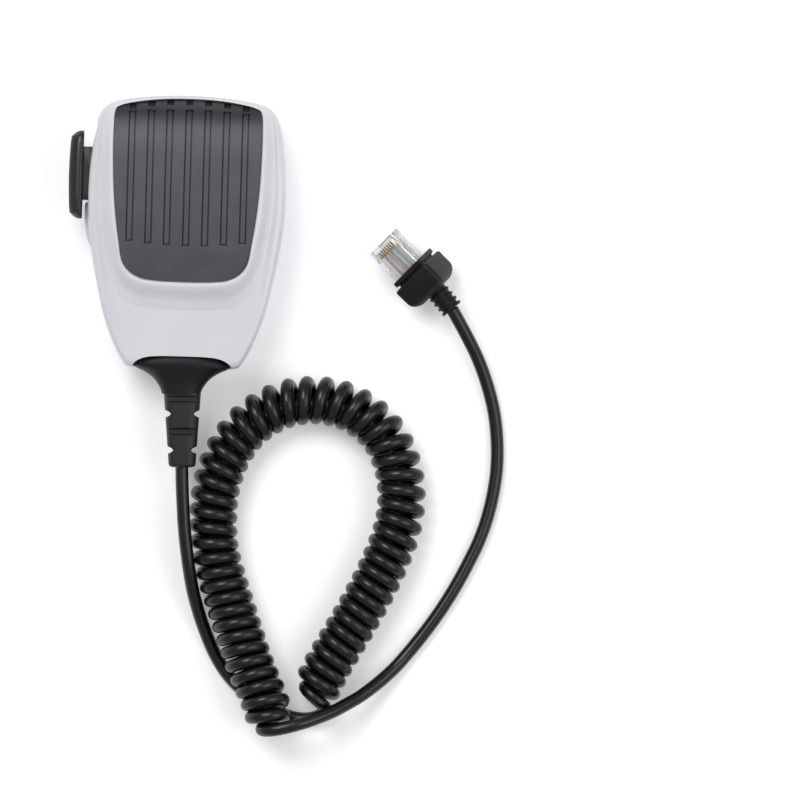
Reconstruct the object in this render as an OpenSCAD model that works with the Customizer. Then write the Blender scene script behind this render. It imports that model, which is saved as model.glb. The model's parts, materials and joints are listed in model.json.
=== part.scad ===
// Hand microphone for a mobile radio: a two-shell housing with a slotted grille panel,
// a side talk lever, a hanger stud on the back and a curly cord that ends in a booted
// eight-way modular plug. The microphone lies on its back with the talk lever at -X,
// the cord leaving towards -Y and the grille facing +Z. The origin is the centre of
// the hanger stud's outer face, and everything rests on the plane z = 0.

/* [Housing] */
// Height of the lowest part of the back above the stud's outer face
back_z = 5.2; // [4:0.1:8]
// Height of the parting line between the two shells
parting_z = 17; // [15:0.1:19]
// Wall thickness of both shells
wall = 2.2; // [1.8:0.1:3]
// Width multiplier of the housing outline
housing_w_scale = 1; // [0.8:0.01:1.25]
// Depth of the flange that the grille panel sits on, below the lip
panel_seat = 2.4; // [2:0.1:3]
// Thickness of the grille panel
panel_t = 1.5; // [1.2:0.1:2]
// Radius of a case screw's shank
case_screw_r = 1.3; // [1:0.05:1.6]
// Radius of a case screw's head
case_screw_head_r = 2.6; // [2.2:0.1:3]

/* [Grille] */
// Number of slots in the grille panel
slot_count = 7; // [3:2:9]
// Distance from one slot to the next
slot_pitch = 6.4; // [4.5:0.1:6.6]
// Width of a slot
slot_w = 2.6; // [1.5:0.1:3]

/* [Hanger stud] */
// Radius of the stud's head
stud_head_r = 7; // [5:0.1:9]
// Thickness of the stud's head
stud_head_t = 2.2; // [1.5:0.1:3]
// Radius of the stud's neck
stud_neck_r = 4.6; // [3:0.1:6]

/* [Talk lever] */
// Length of the talk lever's finger pad
pad_len = 30.2; // [26:0.1:34]
// Thickness of the finger pad across the housing's depth
pad_depth = 13; // [11:0.1:16]
// Depth of the lever's neck, where it enters the housing
neck_depth = 9.8; // [8:0.1:11]
// Radius of the steel pin that the lever turns on
pin_r = 1; // [0.8:0.05:1.4]

/* [Cord] */
// Outside diameter of the cord
cord_d = 4.5; // [4:0.1:5]
// Outside radius of the coiled part
coil_r = 8.6; // [7.5:0.1:9]

/* [Modular plug] */
// Width of the plug's body
plug_w = 11.68; // [9:0.01:12]
// Height of the plug's body
plug_h = 6.6; // [5.5:0.1:7]
// Distance from one contact to the next
contact_pitch = 1.02; // [0.9:0.01:1.1]
// Width and height of the rubber boot round the plug
boot_side = 16.4; // [15:0.1:19]

/* [Hidden] */
$fn = 48;
gap = 0.15;              // assembly clearance between moulded pieces
running_gap = 0.05;      // radial clearance of a part that turns on a pin
ring_steps = 2;          // points on each span of an outline curve
white_plastic = [0.86, 0.87, 0.89];
dark_plastic = [0.33, 0.34, 0.36];
black_rubber = [0.09, 0.09, 0.1];
steel = [0.72, 0.73, 0.75];

// ---- curves and lofts ----

// Point at share t of the span from b to c of a smooth curve that passes through a, b, c and d
function catmull(a, b, c, d, t) =
    0.5 * (2 * b + (c - a) * t + (2 * a - 5 * b + 4 * c - d) * t * t
    + (3 * b - a - 3 * c + d) * t * t * t);

// Closed smooth curve through points, with steps points on each span
function closed_curve(points, steps) =
    let (n = len(points))
    [for (i = [0 : n - 1], k = [0 : steps - 1])
        catmull(points[(i + n - 1) % n], points[i], points[(i + 1) % n],
            points[(i + 2) % n], k / steps)];

// Open smooth curve through points, with steps points on each span
function open_curve(points, steps) =
    let (n = len(points))
    concat(
        [for (i = [0 : n - 2], k = [0 : steps - 1])
            catmull(points[max(i - 1, 0)], points[i], points[i + 1],
                points[min(i + 2, n - 1)], k / steps)],
        [points[n - 1]]);

// Whole outline from its right half, which runs from the top centre to the bottom centre
function mirrored(half) =
    concat(half, [for (i = [len(half) - 2 : -1 : 1]) [-half[i][0], half[i][1]]]);

function unit(v) = v / norm(v);

// Solid through rings of equal length. The ends are closed with flat caps, unless ends is
// false, when the last ring joins the first one.
module loft(rings, ends = true) {
    m = len(rings);
    n = len(rings[0]);
    last = ends ? m - 2 : m - 1;
    sides = [for (r = [0 : last], i = [0 : n - 1])
        let (a = r * n + i, b = r * n + (i + 1) % n, up = ((r + 1) % m) * n)
        each [[a, b, up + i], [b, up + (i + 1) % n, up + i]]];
    caps = ends ? [[for (i = [n - 1 : -1 : 0]) i], [for (i = [0 : n - 1]) (m - 1) * n + i]] : [];
    polyhedron(points = [for (ring = rings) each ring], faces = concat(sides, caps), convexity = 6);
}

// Direction of a route at point i
function heading(route, i) =
    unit(route[min(i + 1, len(route) - 1)] - route[max(i - 1, 0)]);

// Sideways direction at point i of a route, level with the table, carried on by the
// fixed direction spare where the route runs straight up
function sideways(route, i, spare) =
    let (c = cross(heading(route, i), spare)) unit(c);

// Round tube of radius r that follows a route
module tube(route, r, sides, spare = [0, 0, 1]) {
    loft([for (i = [0 : len(route) - 1])
        let (s = sideways(route, i, spare), u = cross(s, heading(route, i)))
        [for (k = [0 : sides - 1])
            route[i] + r * (cos(360 * k / sides) * s - sin(360 * k / sides) * u)]]);
}

// ---- housing shape ----

// Right half of the housing's outline
housing_half = [
    [0, 45.6], [11, 45.2], [21.5, 43.9], [27.6, 42], [31, 37.8], [32.8, 29.5], [34, 17],
    [34, 5], [32.8, -6], [30.4, -19], [27.6, -30.5], [24, -40], [20.8, -46], [18.6, -48],
    [12, -48.3], [0, -48.3]
];
// Right half of the grille panel's outline, point for point with the housing's
panel_half = [
    [0, 44.3], [9, 44], [17, 43], [23, 41.6], [25.2, 39.6], [25.6, 33], [25.5, 24],
    [25.1, 14], [24.2, 4], [22.9, -5], [21.6, -12], [18.8, -15.9], [15, -17.9],
    [11.5, -18.5], [7, -18.8], [0, -18.9]
];
housing = closed_curve([for (p = mirrored(housing_half)) [p[0] * housing_w_scale, p[1]]], ring_steps);
panel = closed_curve([for (p = mirrored(panel_half)) [p[0] * housing_w_scale, p[1]]], ring_steps);
side_x = 34 * (1 - housing_w_scale);   // way that the talk lever's side moves with the width

// A point that moves with the side of the housing that it is nearer to
function with_side(p) = [p[0] - sign(p[0]) * side_x, p[1]];

// Height of the grille's lip and of the housing's shoulder along the length of the housing
function lip_z(y) = parting_z + lookup(y, [
    [-22, 13.4], [-10, 15.6], [4, 16.9], [18, 17.3], [28, 17], [35, 15.6], [40, 12.8],
    [43.5, 9], [45.6, 5.5]]);
function shoulder_z(y) = parting_z + lookup(y, [
    [-48.3, 6.6], [-35, 8.2], [-20, 9.6], [0, 11], [20, 11.4], [32, 10.4], [40, 7.6], [45.6, 3.2]]);

// Outward direction from the panel's outline to the housing's at point i, and its length
function across(i) = unit(housing[i] - panel[i]);
function across_len(i) = norm(housing[i] - panel[i]);

// Ring of points at a distance in from the housing's outline, at most a share of the way
function from_edge(d, share) = [for (i = [0 : len(housing) - 1])
    housing[i] - across(i) * min(d, share * across_len(i))];
// Ring of points at a distance out from the panel's outline, at most a share of the way
function from_panel(d, share) = [for (i = [0 : len(panel) - 1])
    panel[i] + across(i) * min(d, share * across_len(i))];

// A flat ring raised to the height z, to a share of the shoulder's height, or to a share of
// the way from the shoulder to the lip, less a drop
function at_z(ring, z) = [for (p = ring) [p[0], p[1], z]];
function up_side(ring, share) = [for (i = [0 : len(ring) - 1])
    [ring[i][0], ring[i][1], parting_z + (shoulder_z(housing[i][1]) - parting_z) * share]];
function up_island(ring, share, drop = 0) = [for (i = [0 : len(ring) - 1])
    let (low = shoulder_z(housing[i][1]), high = lip_z(panel[i][1]))
    [ring[i][0], ring[i][1], low + (high - low) * share - drop]];

seat_w = 1.3;    // width of the flange under the panel's edge

module front_skin() {
    loft(ends = false, rings = [
        at_z(housing, parting_z),
        up_side(housing, 0.45),
        up_side(from_edge(0.5, 0.1), 0.78),
        up_side(from_edge(1.7, 0.22), 0.94),
        up_side(from_edge(3.6, 0.38), 1),
        up_island(from_panel(9, 0.5), 0.32),
        up_island(from_panel(5.5, 0.34), 0.52),
        up_island(from_panel(3, 0.22), 0.84),
        up_island(from_panel(1.6, 0.13), 0.98),
        up_island(from_panel(0.6, 0.05), 1),
        up_island(panel, 1, 0.5),
        up_island(panel, 1, panel_seat),
        up_island(from_panel(-seat_w, 0), 1, panel_seat),
        up_island(from_panel(-seat_w, 0), 1, panel_seat + 1.6),
        [for (i = [0 : len(housing) - 1])
            let (p = housing[i] - across(i) * (wall + min(3, 0.3 * across_len(i))))
            [p[0], p[1], max(shoulder_z(housing[i][1]) - wall, parting_z + 0.6)]],
        at_z([for (i = [0 : len(housing) - 1]) housing[i] - across(i) * wall], parting_z)
    ]);
}

function inset(d) = [for (i = [0 : len(housing) - 1]) housing[i] - across(i) * d];

rim_step = wall / 2 + 0.05;   // outer part of the rear rim, outside the gasket
gasket_t = 0.8;               // thickness of the gasket

module rear_skin() {
    loft([
        at_z(inset(5), back_z),
        at_z(inset(2.8), back_z + 0.9),
        at_z(inset(1.2), back_z + 2.4),
        at_z(inset(0.15), back_z + 5.8),
        at_z(housing, parting_z),
        at_z(inset(rim_step), parting_z),
        at_z(inset(rim_step), parting_z - gasket_t),
        at_z(inset(wall), parting_z - gasket_t),
        at_z(inset(wall + 0.4), back_z + 5.8),
        at_z(inset(wall + 1.8), back_z + 3.2),
        at_z(inset(wall + 5), back_z + wall)
    ]);
}

// ---- places inside the housing ----

case_screw_at = [[22.5, 32], [-22.5, 32], [13.5, -37], [-13.5, -37]];
board_screw_at = [[16.2, 31.5], [-16.2, 31.5], [16.5, -24], [-16.5, -24]];
board_z = parting_z + 1;      // underside of the circuit board
board_t = 1.6;
board_top = board_z + board_t;
boss_r = case_screw_r + 1.7;
head_recess = 3.8;            // depth of a case screw's head below the back

clamp_y = -37;                // middle of the clamp that holds the cord
clamp_screw_x = 5.6;
clamp_screw_r = 1;
clamp_t = 1;                  // thickness of the clamp's sheet
pivot = [side_x - 29, 11];     // axis of the talk lever
lever_z = parting_z + 0.5;    // middle of the lever's depth
neck_low = 8.6;               // lower end of the lever's neck
neck_high = 27;
slot_gap = 0.7;               // room round the neck in the housing's side
press_y = 20;                 // where the lever pushes the switch
plunger_z = board_z - 3;
plunger_tip_x = side_x - 22.7;
switch_x = side_x - 21.2;     // face of the switch that the plunger stands out of
spring_y = 25;
spring_r = 1.8;
seat_x = side_x - 21.6;       // face that the return spring pushes against
lever_back_x = side_x - 27;   // inner face of the lever's neck

// Bulge of the rear shell beside the lower end of the talk lever
module lever_heel() {
    difference() {
        translate([side_x, 0, back_z + 5]) linear_extrude(parting_z - back_z - 5) polygon([
            [-32, 8], [-35, 7.8], [-35.1, 5], [-34.9, 1], [-34.4, -3], [-33.4, -6], [-31.5, -8]]);
        translate([0, 0, parting_z - gasket_t]) linear_extrude(gasket_t + 1) polygon(inset(rim_step));
    }
}

// Shallow recess in the housing's side under the talk lever
module lever_recess() {
    low = lever_z - pad_depth / 2 - 1.5;
    translate([side_x, 0, low]) linear_extrude(pad_depth + 3) polygon([
        [-45, 7.9], [-33.1, 7.9], [-32.7, 18], [-31.9, 28], [-31.3, 35], [-31.6, 37.5], [-45, 37.5]]);
}

module neck_slot() {
    translate([side_x - 45, neck_low - slot_gap, lever_z - neck_depth / 2 - 0.4])
        cube([45 - 28.5, neck_high - neck_low + 2 * slot_gap, neck_depth + 0.8]);
}

// ---- cord boot, which also shapes the opening for it ----

boot_z = 15;                  // height of the cord where it leaves the housing
clamp_z = boot_z + 2;         // underside of the clamp's feet
relief_top_y = -57.4;         // end of the boot, where the strain relief starts
relief_end_y = -82.5;         // end of the strain relief, where the cord leaves it
cord_lean = 1.4;              // turn of the cord towards +X where it leaves the housing
lean_y = -39;                 // place along the housing that it turns about
relief_bore = cord_d / 2;
boot_sections = [             // place along the cord, half width, half depth
    [-44.5, 12.2, 8.4], [-45.2, 14.4, 8.9], [-46.2, 16, 9.1], [-47.4, 16.8, 9],
    [-48.4, 15.9, 8.7], [-49.8, 12.9, 8.1], [-51.6, 10.2, 7.4], [-53.6, 8.4, 6.8],
    [-55.6, 7.2, 6.4], [relief_top_y, 6.6, 6.1]
];

// Rounded section across the cord: half width a, half depth b
function oval(y, a, b, n = 32) = [for (k = [0 : n - 1])
    let (c = cos(360 * k / n), s = sin(360 * k / n), e = 0.72)
    [sign(c) * a * pow(abs(c), e), y, boot_z + sign(s) * b * pow(abs(s), e)]];

boot_neck = [21, 11];         // width and depth of the boot's neck, inside the housing
flange_t = 2;                 // thickness of the flange that keeps the boot in the housing
flange_y = -41.4;             // inner face of that flange

// Rib across the housing, from low to high, that the boot's flange bears on
module boot_collar(low, high) {
    translate([-17.5, -45, low]) cube([35, 1.5, high - low]);
}

// Room for the boot's neck in both shells
module boot_neck_room() {
    translate([-boot_neck[0] / 2 - gap, -46, boot_z - boot_neck[1] / 2 - gap])
        cube([boot_neck[0] + 2 * gap, 4, boot_neck[1] + 2 * gap]);
}

module boot_shape(grow = 0) {
    loft([for (i = [len(boot_sections) - 1 : -1 : 0])
        let (s = boot_sections[i])
        oval(s[0] + (i == 0 ? grow : 0), s[1] + grow, s[2] + grow)]);
}

// ---- shells ----

module each_case_screw() {
    for (p = case_screw_at) translate([p[0], p[1], 0]) children();
}

module each_clamp_screw() {
    for (s = [-1, 1]) translate([s * clamp_screw_x, clamp_y, 0]) children();
}

module each_board_screw() {
    for (p = board_screw_at) translate([p[0], p[1], 0]) children();
}

// A cylinder between two heights
module post(r, low, high) {
    translate([0, 0, low]) cylinder(r = r, h = high - low);
}

module front_shell() {
    boss_top = [30.2, 30.2, 23.4, 23.4];
    post_top = [28, 28, 25.6, 25.6];
    color(white_plastic) difference() {
        union() {
            front_skin();
            for (i = [0 : 3]) translate(case_screw_at[i]) post(boss_r, parting_z, boss_top[i]);
            for (i = [0 : 3]) translate(board_screw_at[i]) post(2.2, board_top, post_top[i]);
            for (s = [-1, 1]) {
                translate([s * 18.9 - 2.7, 30.8, board_top]) cube([5.4, 1.6, 28 - board_top]);
            }
            translate(pivot) post(2.6, lever_z + neck_depth / 2 + 0.4, parting_z + 10);
            translate([side_x - 31.8, spring_y - 2.5, lever_z + neck_depth / 2 + 0.8])
                cube([seat_x + 1.2 - side_x + 31.8, 5, 2.4]);
            translate([seat_x, spring_y - 2.5, lever_z - 2.6])
                cube([1.2, 5, neck_depth / 2 + 5]);
            each_clamp_screw() post(2.2, clamp_z + clamp_t, 23.4);
            boot_collar(parting_z, 22.6);
        }
        neck_slot();
        lever_recess();
        boot_shape(gap);
        boot_neck_room();
        each_case_screw() post(case_screw_r, parting_z - 1, parting_z + 5);
        each_board_screw() post(1, board_top - 1, board_top + 4);
        each_clamp_screw() post(clamp_screw_r, clamp_z, clamp_z + 5.5);
        translate(pivot) post(pin_r, parting_z, parting_z + 9);
    }
}

module rear_shell() {
    color(white_plastic) difference() {
        union() {
            rear_skin();
            each_case_screw() post(boss_r + 0.9, back_z + 1, parting_z);
            post(8, back_z + 1, back_z + wall + 2);
            translate(pivot) post(2.6, back_z + 1.6, lever_z - neck_depth / 2 - 0.4);
            boot_collar(back_z + 1, parting_z);
            lever_heel();
        }
        neck_slot();
        lever_recess();
        boot_shape(gap);
        boot_neck_room();
        each_case_screw() post(case_screw_r + 0.2, back_z - 1, parting_z + 1);
        each_case_screw() post(case_screw_head_r + 0.2, back_z - 1, back_z + head_recess);
        post(stud_screw_r + 0.1, back_z - 1, back_z + 10);
        translate(pivot) post(pin_r, back_z + 3, lever_z);
    }
}

module shell_gasket() {
    color(black_rubber) difference() {
        loft(ends = false, rings = [
            at_z(inset(wall), parting_z - gasket_t),
            at_z(inset(rim_step + 0.05), parting_z - gasket_t),
            at_z(inset(rim_step + 0.05), parting_z),
            at_z(inset(wall), parting_z)
        ]);
        neck_slot();
        lever_recess();
        boot_shape(gap);
    }
}

module case_screws() {
    color(steel) each_case_screw() {
        post(case_screw_r, back_z + head_recess, parting_z + 4.5);
        difference() {
            post(case_screw_head_r, back_z + head_recess - 1.9, back_z + head_recess);
            for (a = [0, 90]) rotate(a)
                translate([-1.6, -0.3, back_z + head_recess - 2.9]) cube([3.2, 0.6, 2]);
        }
    }
}

// ---- grille ----

// Side view of the panel's front face, from bottom to top, dropped by d below the lip
function panel_line(d) = [for (y = [-20 : 3 : 34]) [y, lip_z(y) - d]];
function panel_roll(d) = [for (y = [36 : 1.5 : 46]) [y, lip_z(y) - d]];
function panel_side(front, back) =
    let (b = concat(panel_line(back), panel_roll(back)))
    concat(panel_line(front), panel_roll(front), [for (i = [len(b) - 1 : -1 : 0]) b[i]]);

// A plate whose side view is curved like the grille, between two drops below the lip
module curved_plate(front, back, half_w) {
    rotate([90, 0, 90]) translate([0, 0, -half_w])
        linear_extrude(2 * half_w) polygon(panel_side(front, back));
}

slot_floor = 0.95;            // depth of the slots in the panel
slot_low_y = -5.4;            // lower end of the slots

module grille_panel() {
    edge = [for (i = [0 : len(panel) - 1]) panel[i] - across(i) * gap];
    color(dark_plastic) difference() {
        intersection() {
            linear_extrude(60) polygon(edge);
            curved_plate(panel_seat - panel_t, panel_seat, 40);
        }
        intersection() {
            union() {
                for (i = [0 : slot_count - 1])
                    translate([(i - (slot_count - 1) / 2) * slot_pitch - slot_w / 2, slot_low_y, 0])
                        cube([slot_w, 60, 60]);
            }
            curved_plate(0, panel_seat - panel_t + slot_floor, 40);
        }
        for (i = [0 : slot_count - 1])
            translate([(i - (slot_count - 1) / 2) * slot_pitch, 0, 0])
                for (y = [-2 : 5 : 28])
                    translate([-0.5, y, 10]) cube([1, 2.5, 40]);
    }
}

module dust_screen() {
    color([0.15, 0.15, 0.16]) intersection() {
        translate([-20, -7, 0]) cube([40, 38, 60]);
        curved_plate(panel_seat + gap, panel_seat + gap + 0.3, 30);
    }
}

// ---- microphone element and circuit board ----

mic_at = [0, 9];
capsule_r = 4.85;
capsule_top = parting_z + 10.5;

module mic_capsule() {
    color(steel) translate(mic_at) {
        post(capsule_r, board_top + 1.2, capsule_top);
        for (s = [-1, 1]) translate([s * 1.3, 0, 0]) post(0.35, board_top - 0.2, board_top + 1.2);
    }
}

module capsule_sleeve() {
    color(black_rubber) translate(mic_at) difference() {
        post(capsule_r + 1.6, board_top + 0.1, capsule_top + 1.5);
        post(capsule_r, board_top - 1, capsule_top);
        post(capsule_r - 1, board_top - 1, capsule_top + 3);
    }
}

module circuit_board() {
    color([0.1, 0.35, 0.2]) difference() {
        translate([0, 0, board_z]) linear_extrude(board_t) polygon([for (p = [
            [-21, -20], [-19, -27.5], [19, -27.5], [21, -20], [21, 27.5], [18.8, 29],
            [18.8, 35], [-18.8, 35], [-18.8, 29], [-20, 27.5], [-20, 22], [-21, 21]]) with_side(p)]);
        each_board_screw() post(1.2, board_z - 1, board_top + 1);
        translate(mic_at) for (s = [-1, 1]) translate([s * 1.3, 0, 0])
            post(0.4, board_z - 1, board_top + 1);
    }
}

module board_screws() {
    color(steel) each_board_screw() {
        post(1, board_z, board_top + 3.5);
        difference() {
            post(2, board_z - 1.4, board_z);
            for (a = [0, 90]) rotate(a) translate([-1.2, -0.25, board_z - 2]) cube([2.4, 0.5, 1.2]);
        }
    }
}

module board_parts() {
    color([0.2, 0.2, 0.22]) {
        translate([6, -10, board_top]) cube([5, 4.4, 1.6]);
        translate([-13, -8, board_z - 1.5]) cube([7, 5, 1.5]);
        for (x = [-9, -4, 9, 14], y = [18, 22.5]) translate([x, y, board_top]) cube([2, 1.2, 0.8]);
        for (x = [3, 7.5, 12], y = [-2, 14, 19]) translate([x, y, board_z - 1]) cube([3.2, 1.6, 1]);
    }
    color([0.75, 0.76, 0.78]) for (p = [[-12, -14], [12, -15]])
        translate([p[0], p[1], 0]) post(2.5, board_top, board_top + 5.4);
}

module ptt_switch() {
    color([0.12, 0.12, 0.13]) difference() {
        translate([switch_x, press_y - 7.4, board_z - 6]) cube([6.4, 9.4, 6]);
        translate([switch_x - 1, press_y, plunger_z]) rotate([0, 90, 0])
            cylinder(r = 1.05, h = 4);
    }
}

module ptt_switch_plunger() {
    color([0.75, 0.3, 0.2]) translate([plunger_tip_x, press_y, plunger_z])
        rotate([0, 90, 0]) cylinder(r = 1, h = 3);
}

// ---- talk lever ----

pad_mid_y = 17.3;
pad_in_x = side_x - 36;       // the pad's face towards the housing
pad_t = 4.3;                  // thickness of the pad away from the housing
pad_bulge = 0.6;              // how far the pad's outer face bows out

// Outline of the finger pad, seen from the front, with its ends cut back at a slant
function pad_outline(trim) =
    let (h = pad_len / 2 - trim, x0 = pad_in_x, x1 = pad_in_x - pad_t + trim)
    concat(
        [[x0 + 0.3, pad_mid_y - h], [x0, pad_mid_y], [x0 + 0.1, pad_mid_y + h]],
        [[x0 - 1.4, pad_mid_y + h]],
        [for (k = [-4 : 4]) [x1 - pad_bulge * (1 - k * k / 16), pad_mid_y - k * (h - 2.6) / 4]],
        [[x0 - 1.2, pad_mid_y - h]]);

module ptt_lever() {
    color(black_rubber) difference() {
        union() {
            hull() {
                translate([0, 0, lever_z - pad_depth / 2 + 1.6])
                    linear_extrude(pad_depth - 3.2) polygon(pad_outline(0));
                translate([0, 0, lever_z - pad_depth / 2])
                    linear_extrude(pad_depth) polygon(pad_outline(1.1));
            }
            translate([pad_in_x - 1, neck_low, lever_z - neck_depth / 2])
                cube([lever_back_x - pad_in_x + 1, neck_high - neck_low, neck_depth]);
            translate([lever_back_x - 0.5, press_y - 1.4, plunger_z - 1.4])
                cube([plunger_tip_x - lever_back_x - 0.35 + 0.5 - 0.9, 2.8, 2.8]);
            translate([plunger_tip_x - 1.35, press_y, plunger_z - 1.4]) cylinder(r = 1.3, h = 2.8);
        }
        translate(pivot) post(pin_r + running_gap, 0, 60);
        translate([lever_back_x - 2.2, spring_y, lever_z]) rotate([0, 90, 0])
            cylinder(r = spring_r + 0.5, h = 4);
    }
}

module ptt_pivot_pin() {
    color(steel) translate(pivot) post(pin_r, back_z + 3, parting_z + 9);
}

module ptt_spring() {
    wire = 0.22;
    turns = 4.5;
    low = lever_back_x - 2.2 + wire;
    high = seat_x - wire;
    color(steel) tube([for (k = [0 : 10 : 360 * turns])
        [low + (high - low) * k / (360 * turns),
            spring_y + (spring_r - wire) * cos(k), lever_z + (spring_r - wire) * sin(k)]],
        wire, 6, [1, 0, 0]);
}

// ---- hanger stud ----

stud_screw_r = 2;
washer_t = 0.5;
stud_hole_floor = 1;          // material left under the stud's threaded hole

module hanger_stud() {
    color(steel) difference() {
        rotate_extrude() polygon([
            [0, 0], [stud_head_r - 0.5, 0], [stud_head_r, 0.5], [stud_head_r, stud_head_t - 0.3],
            [stud_head_r - 0.3, stud_head_t], [stud_neck_r, stud_head_t],
            [stud_neck_r, back_z], [0, back_z]]);
        post(stud_screw_r, stud_hole_floor, back_z + 1);
    }
}

module stud_screw() {
    seat = back_z + wall + 2 + washer_t;
    color(steel) {
        post(stud_screw_r, stud_hole_floor + 0.5, seat);
        difference() {
            post(3.6, seat, seat + 2.3);
            for (a = [0, 90]) rotate(a) translate([-2, -0.4, seat + 1]) cube([4, 0.8, 3]);
        }
    }
}

module stud_washer() {
    color(steel) difference() {
        post(4.4, back_z + wall + 2, back_z + wall + 2 + washer_t);
        post(stud_screw_r + 0.1, 0, 30);
    }
}

// ---- cord entry ----

cord_end_y = -33;             // end of the cord's jacket, inside the housing

// Turns what lies along the cord, which leaves the housing a little to one side
module leaning() {
    translate([0, lean_y, 0]) rotate(cord_lean) translate([0, -lean_y, 0]) children();
}

module along_cord(y) {
    leaning() translate([0, y, boot_z]) rotate([90, 0, 0]) children();
}

module cord_boot() {
    color(black_rubber) difference() {
        union() {
            boot_shape();
            translate([-13, flange_y - flange_t, boot_z - 6.6]) cube([26, flange_t, 12.4]);
            translate([-boot_neck[0] / 2, -45, boot_z - boot_neck[1] / 2])
                cube([boot_neck[0], 3, boot_neck[1]]);
        }
        along_cord(-40) cylinder(r = 4, h = 20);
    }
}

// Half width of the strain relief at a place along it
function relief_half(y) = lookup(y, [[relief_end_y, 4.6], [relief_top_y, 6.4]]);

// Flat rounded plate across the cord
module relief_plate(y, half_w, half_d) {
    along_cord(y) linear_extrude(0.4) offset(r = 2) square([2 * half_w - 4, 2 * half_d - 4], center = true);
}

module strain_relief() {
    side_slots = [-63.2, -75.8];
    face_slots = [-58.4, -69.6];
    slot_t = 1.9;
    color(black_rubber) difference() {
        union() {
            difference() {
                hull() {
                    relief_plate(relief_top_y - 0.3, relief_half(relief_top_y), 5.9);
                    relief_plate(relief_end_y + 0.4, relief_half(relief_end_y), 4.3);
                }
                for (y = side_slots, s = [-1, 1])
                    leaning() translate([s * (relief_half(y) - 1.8) - (s < 0 ? 5 : 0), y - slot_t, boot_z - 8])
                        cube([5, slot_t, 16]);
                for (y = face_slots, s = [-1, 1])
                    leaning() translate([-relief_half(y) + 1.1, y - 1.2, boot_z + s * 4.4 - (s < 0 ? 5 : 0)])
                        cube([2 * relief_half(y) - 2.2, 1.2, 5]);
            }
            along_cord(flange_y + 0.5) cylinder(r = 3.9, h = flange_y + 1.5 - relief_top_y);
            along_cord(flange_y + 1.6) cylinder(r = 5.4, h = 1.6);
        }
        along_cord(-30) cylinder(r = relief_bore, h = 60);
    }
}

// The cord's jacket from inside the housing to the end of the strain relief
module cord_end() {
    color(black_rubber) along_cord(cord_end_y) cylinder(r = relief_bore, h = cord_end_y - relief_end_y);
}

module cord_clamp() {
    color(steel) difference() {
        union() {
            translate([-8, clamp_y - 2.5, clamp_z]) cube([16, 5, clamp_t]);
            along_cord(clamp_y + 2.5) cylinder(r = relief_bore + clamp_t, h = 5);
        }
        along_cord(clamp_y + 6) cylinder(r = relief_bore, h = 12);
        translate([-10, clamp_y - 6, 0]) cube([20, 12, boot_z]);
        each_clamp_screw() post(clamp_screw_r + 0.1, boot_z, boot_z + 5);
    }
}

module clamp_screws() {
    color(steel) each_clamp_screw() {
        post(clamp_screw_r, clamp_z, clamp_z + 5);
        post(1.9, clamp_z - 1.4, clamp_z);
    }
}

// ---- inner wiring ----

header_at = [0, -24.5];
wire_colours = [[0.75, 0.1, 0.1], [0.9, 0.85, 0.2], [0.9, 0.9, 0.9], [0.1, 0.4, 0.7], [0.1, 0.1, 0.1]];

module wire_header() {
    color([0.92, 0.9, 0.85]) translate([header_at[0] - 5.5, header_at[1] - 1.8, board_z - 1.2])
        cube([11, 5, 1.2]);
}

module wire_plug() {
    color([0.92, 0.9, 0.85]) translate([header_at[0] - 5, header_at[1] - 1.8, board_z - 4.4])
        cube([10, 4.6, 3.2]);
}

module lead_wires() {
    for (i = [0 : 4]) {
        x = (i - 2) * 1.8;
        color(wire_colours[i]) tube(open_curve([
            [(i - 2) * 0.75, cord_end_y + 0.1, boot_z], [(i - 2) * 0.9, cord_end_y + 1.4, boot_z],
            [x, header_at[1] - 3.6, board_z - 2.8], [x, header_at[1] - 1.8, board_z - 2.8]], 3),
            0.36, 8);
    }
}

// ---- cord ----

// Route of the free cord from the strain relief to where it joins the coil
mic_tail_route = [
    [1, -82.5, 15], [1.3, -89, 15], [1.8, -96, 14.8], [2.4, -103, 14.4], [3.3, -110, 13.9],
    [4.4, -117, 12.4], [6, -125, 9.4], [8, -131.8, 6.6], [10.4, -138.4, 4.2],
    [13.8, -146, 2.6], [17.8, -152.4, 2.3], [22.6, -157.6, 2.3], [28.2, -161.8, 2.3],
    [34.4, -165.2, 2.3], [40.4, -167.5, 2.3], [45.6, -168.2, 2.7], [50, -167.3, 4.2],
    [52.8, -165.2, 7]
];
// Middle line of the coiled part, from the microphone's end to the plug's end
coil_route = [
    [49.5, -157.5, 8.6], [53, -150, 8.6], [58.5, -140, 8.6], [64, -130, 8.6],
    [69, -120, 8.6], [73, -110.5, 8.6], [76, -101, 8.6], [77, -92, 8.6], [76.3, -83.5, 8.6],
    [74, -76, 8.6], [70, -69, 8.6], [64, -63.5, 8.6], [57, -59.8, 8.6], [50, -58.2, 8.6],
    [43, -58.2, 8.6], [35, -60, 8.6], [27, -64.5, 8.6], [20.5, -71, 8.6], [15.5, -80, 8.6],
    [12.8, -90, 8.6], [12.2, -100, 8.6], [13, -110, 8.6], [15.8, -120, 8.7],
    [19.3, -130, 9.2], [22.8, -140, 10.2], [26.5, -150, 11.6], [31, -160, 13],
    [33, -165.2, 13.5], [34.8, -171.5, 13.7]
];
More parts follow.
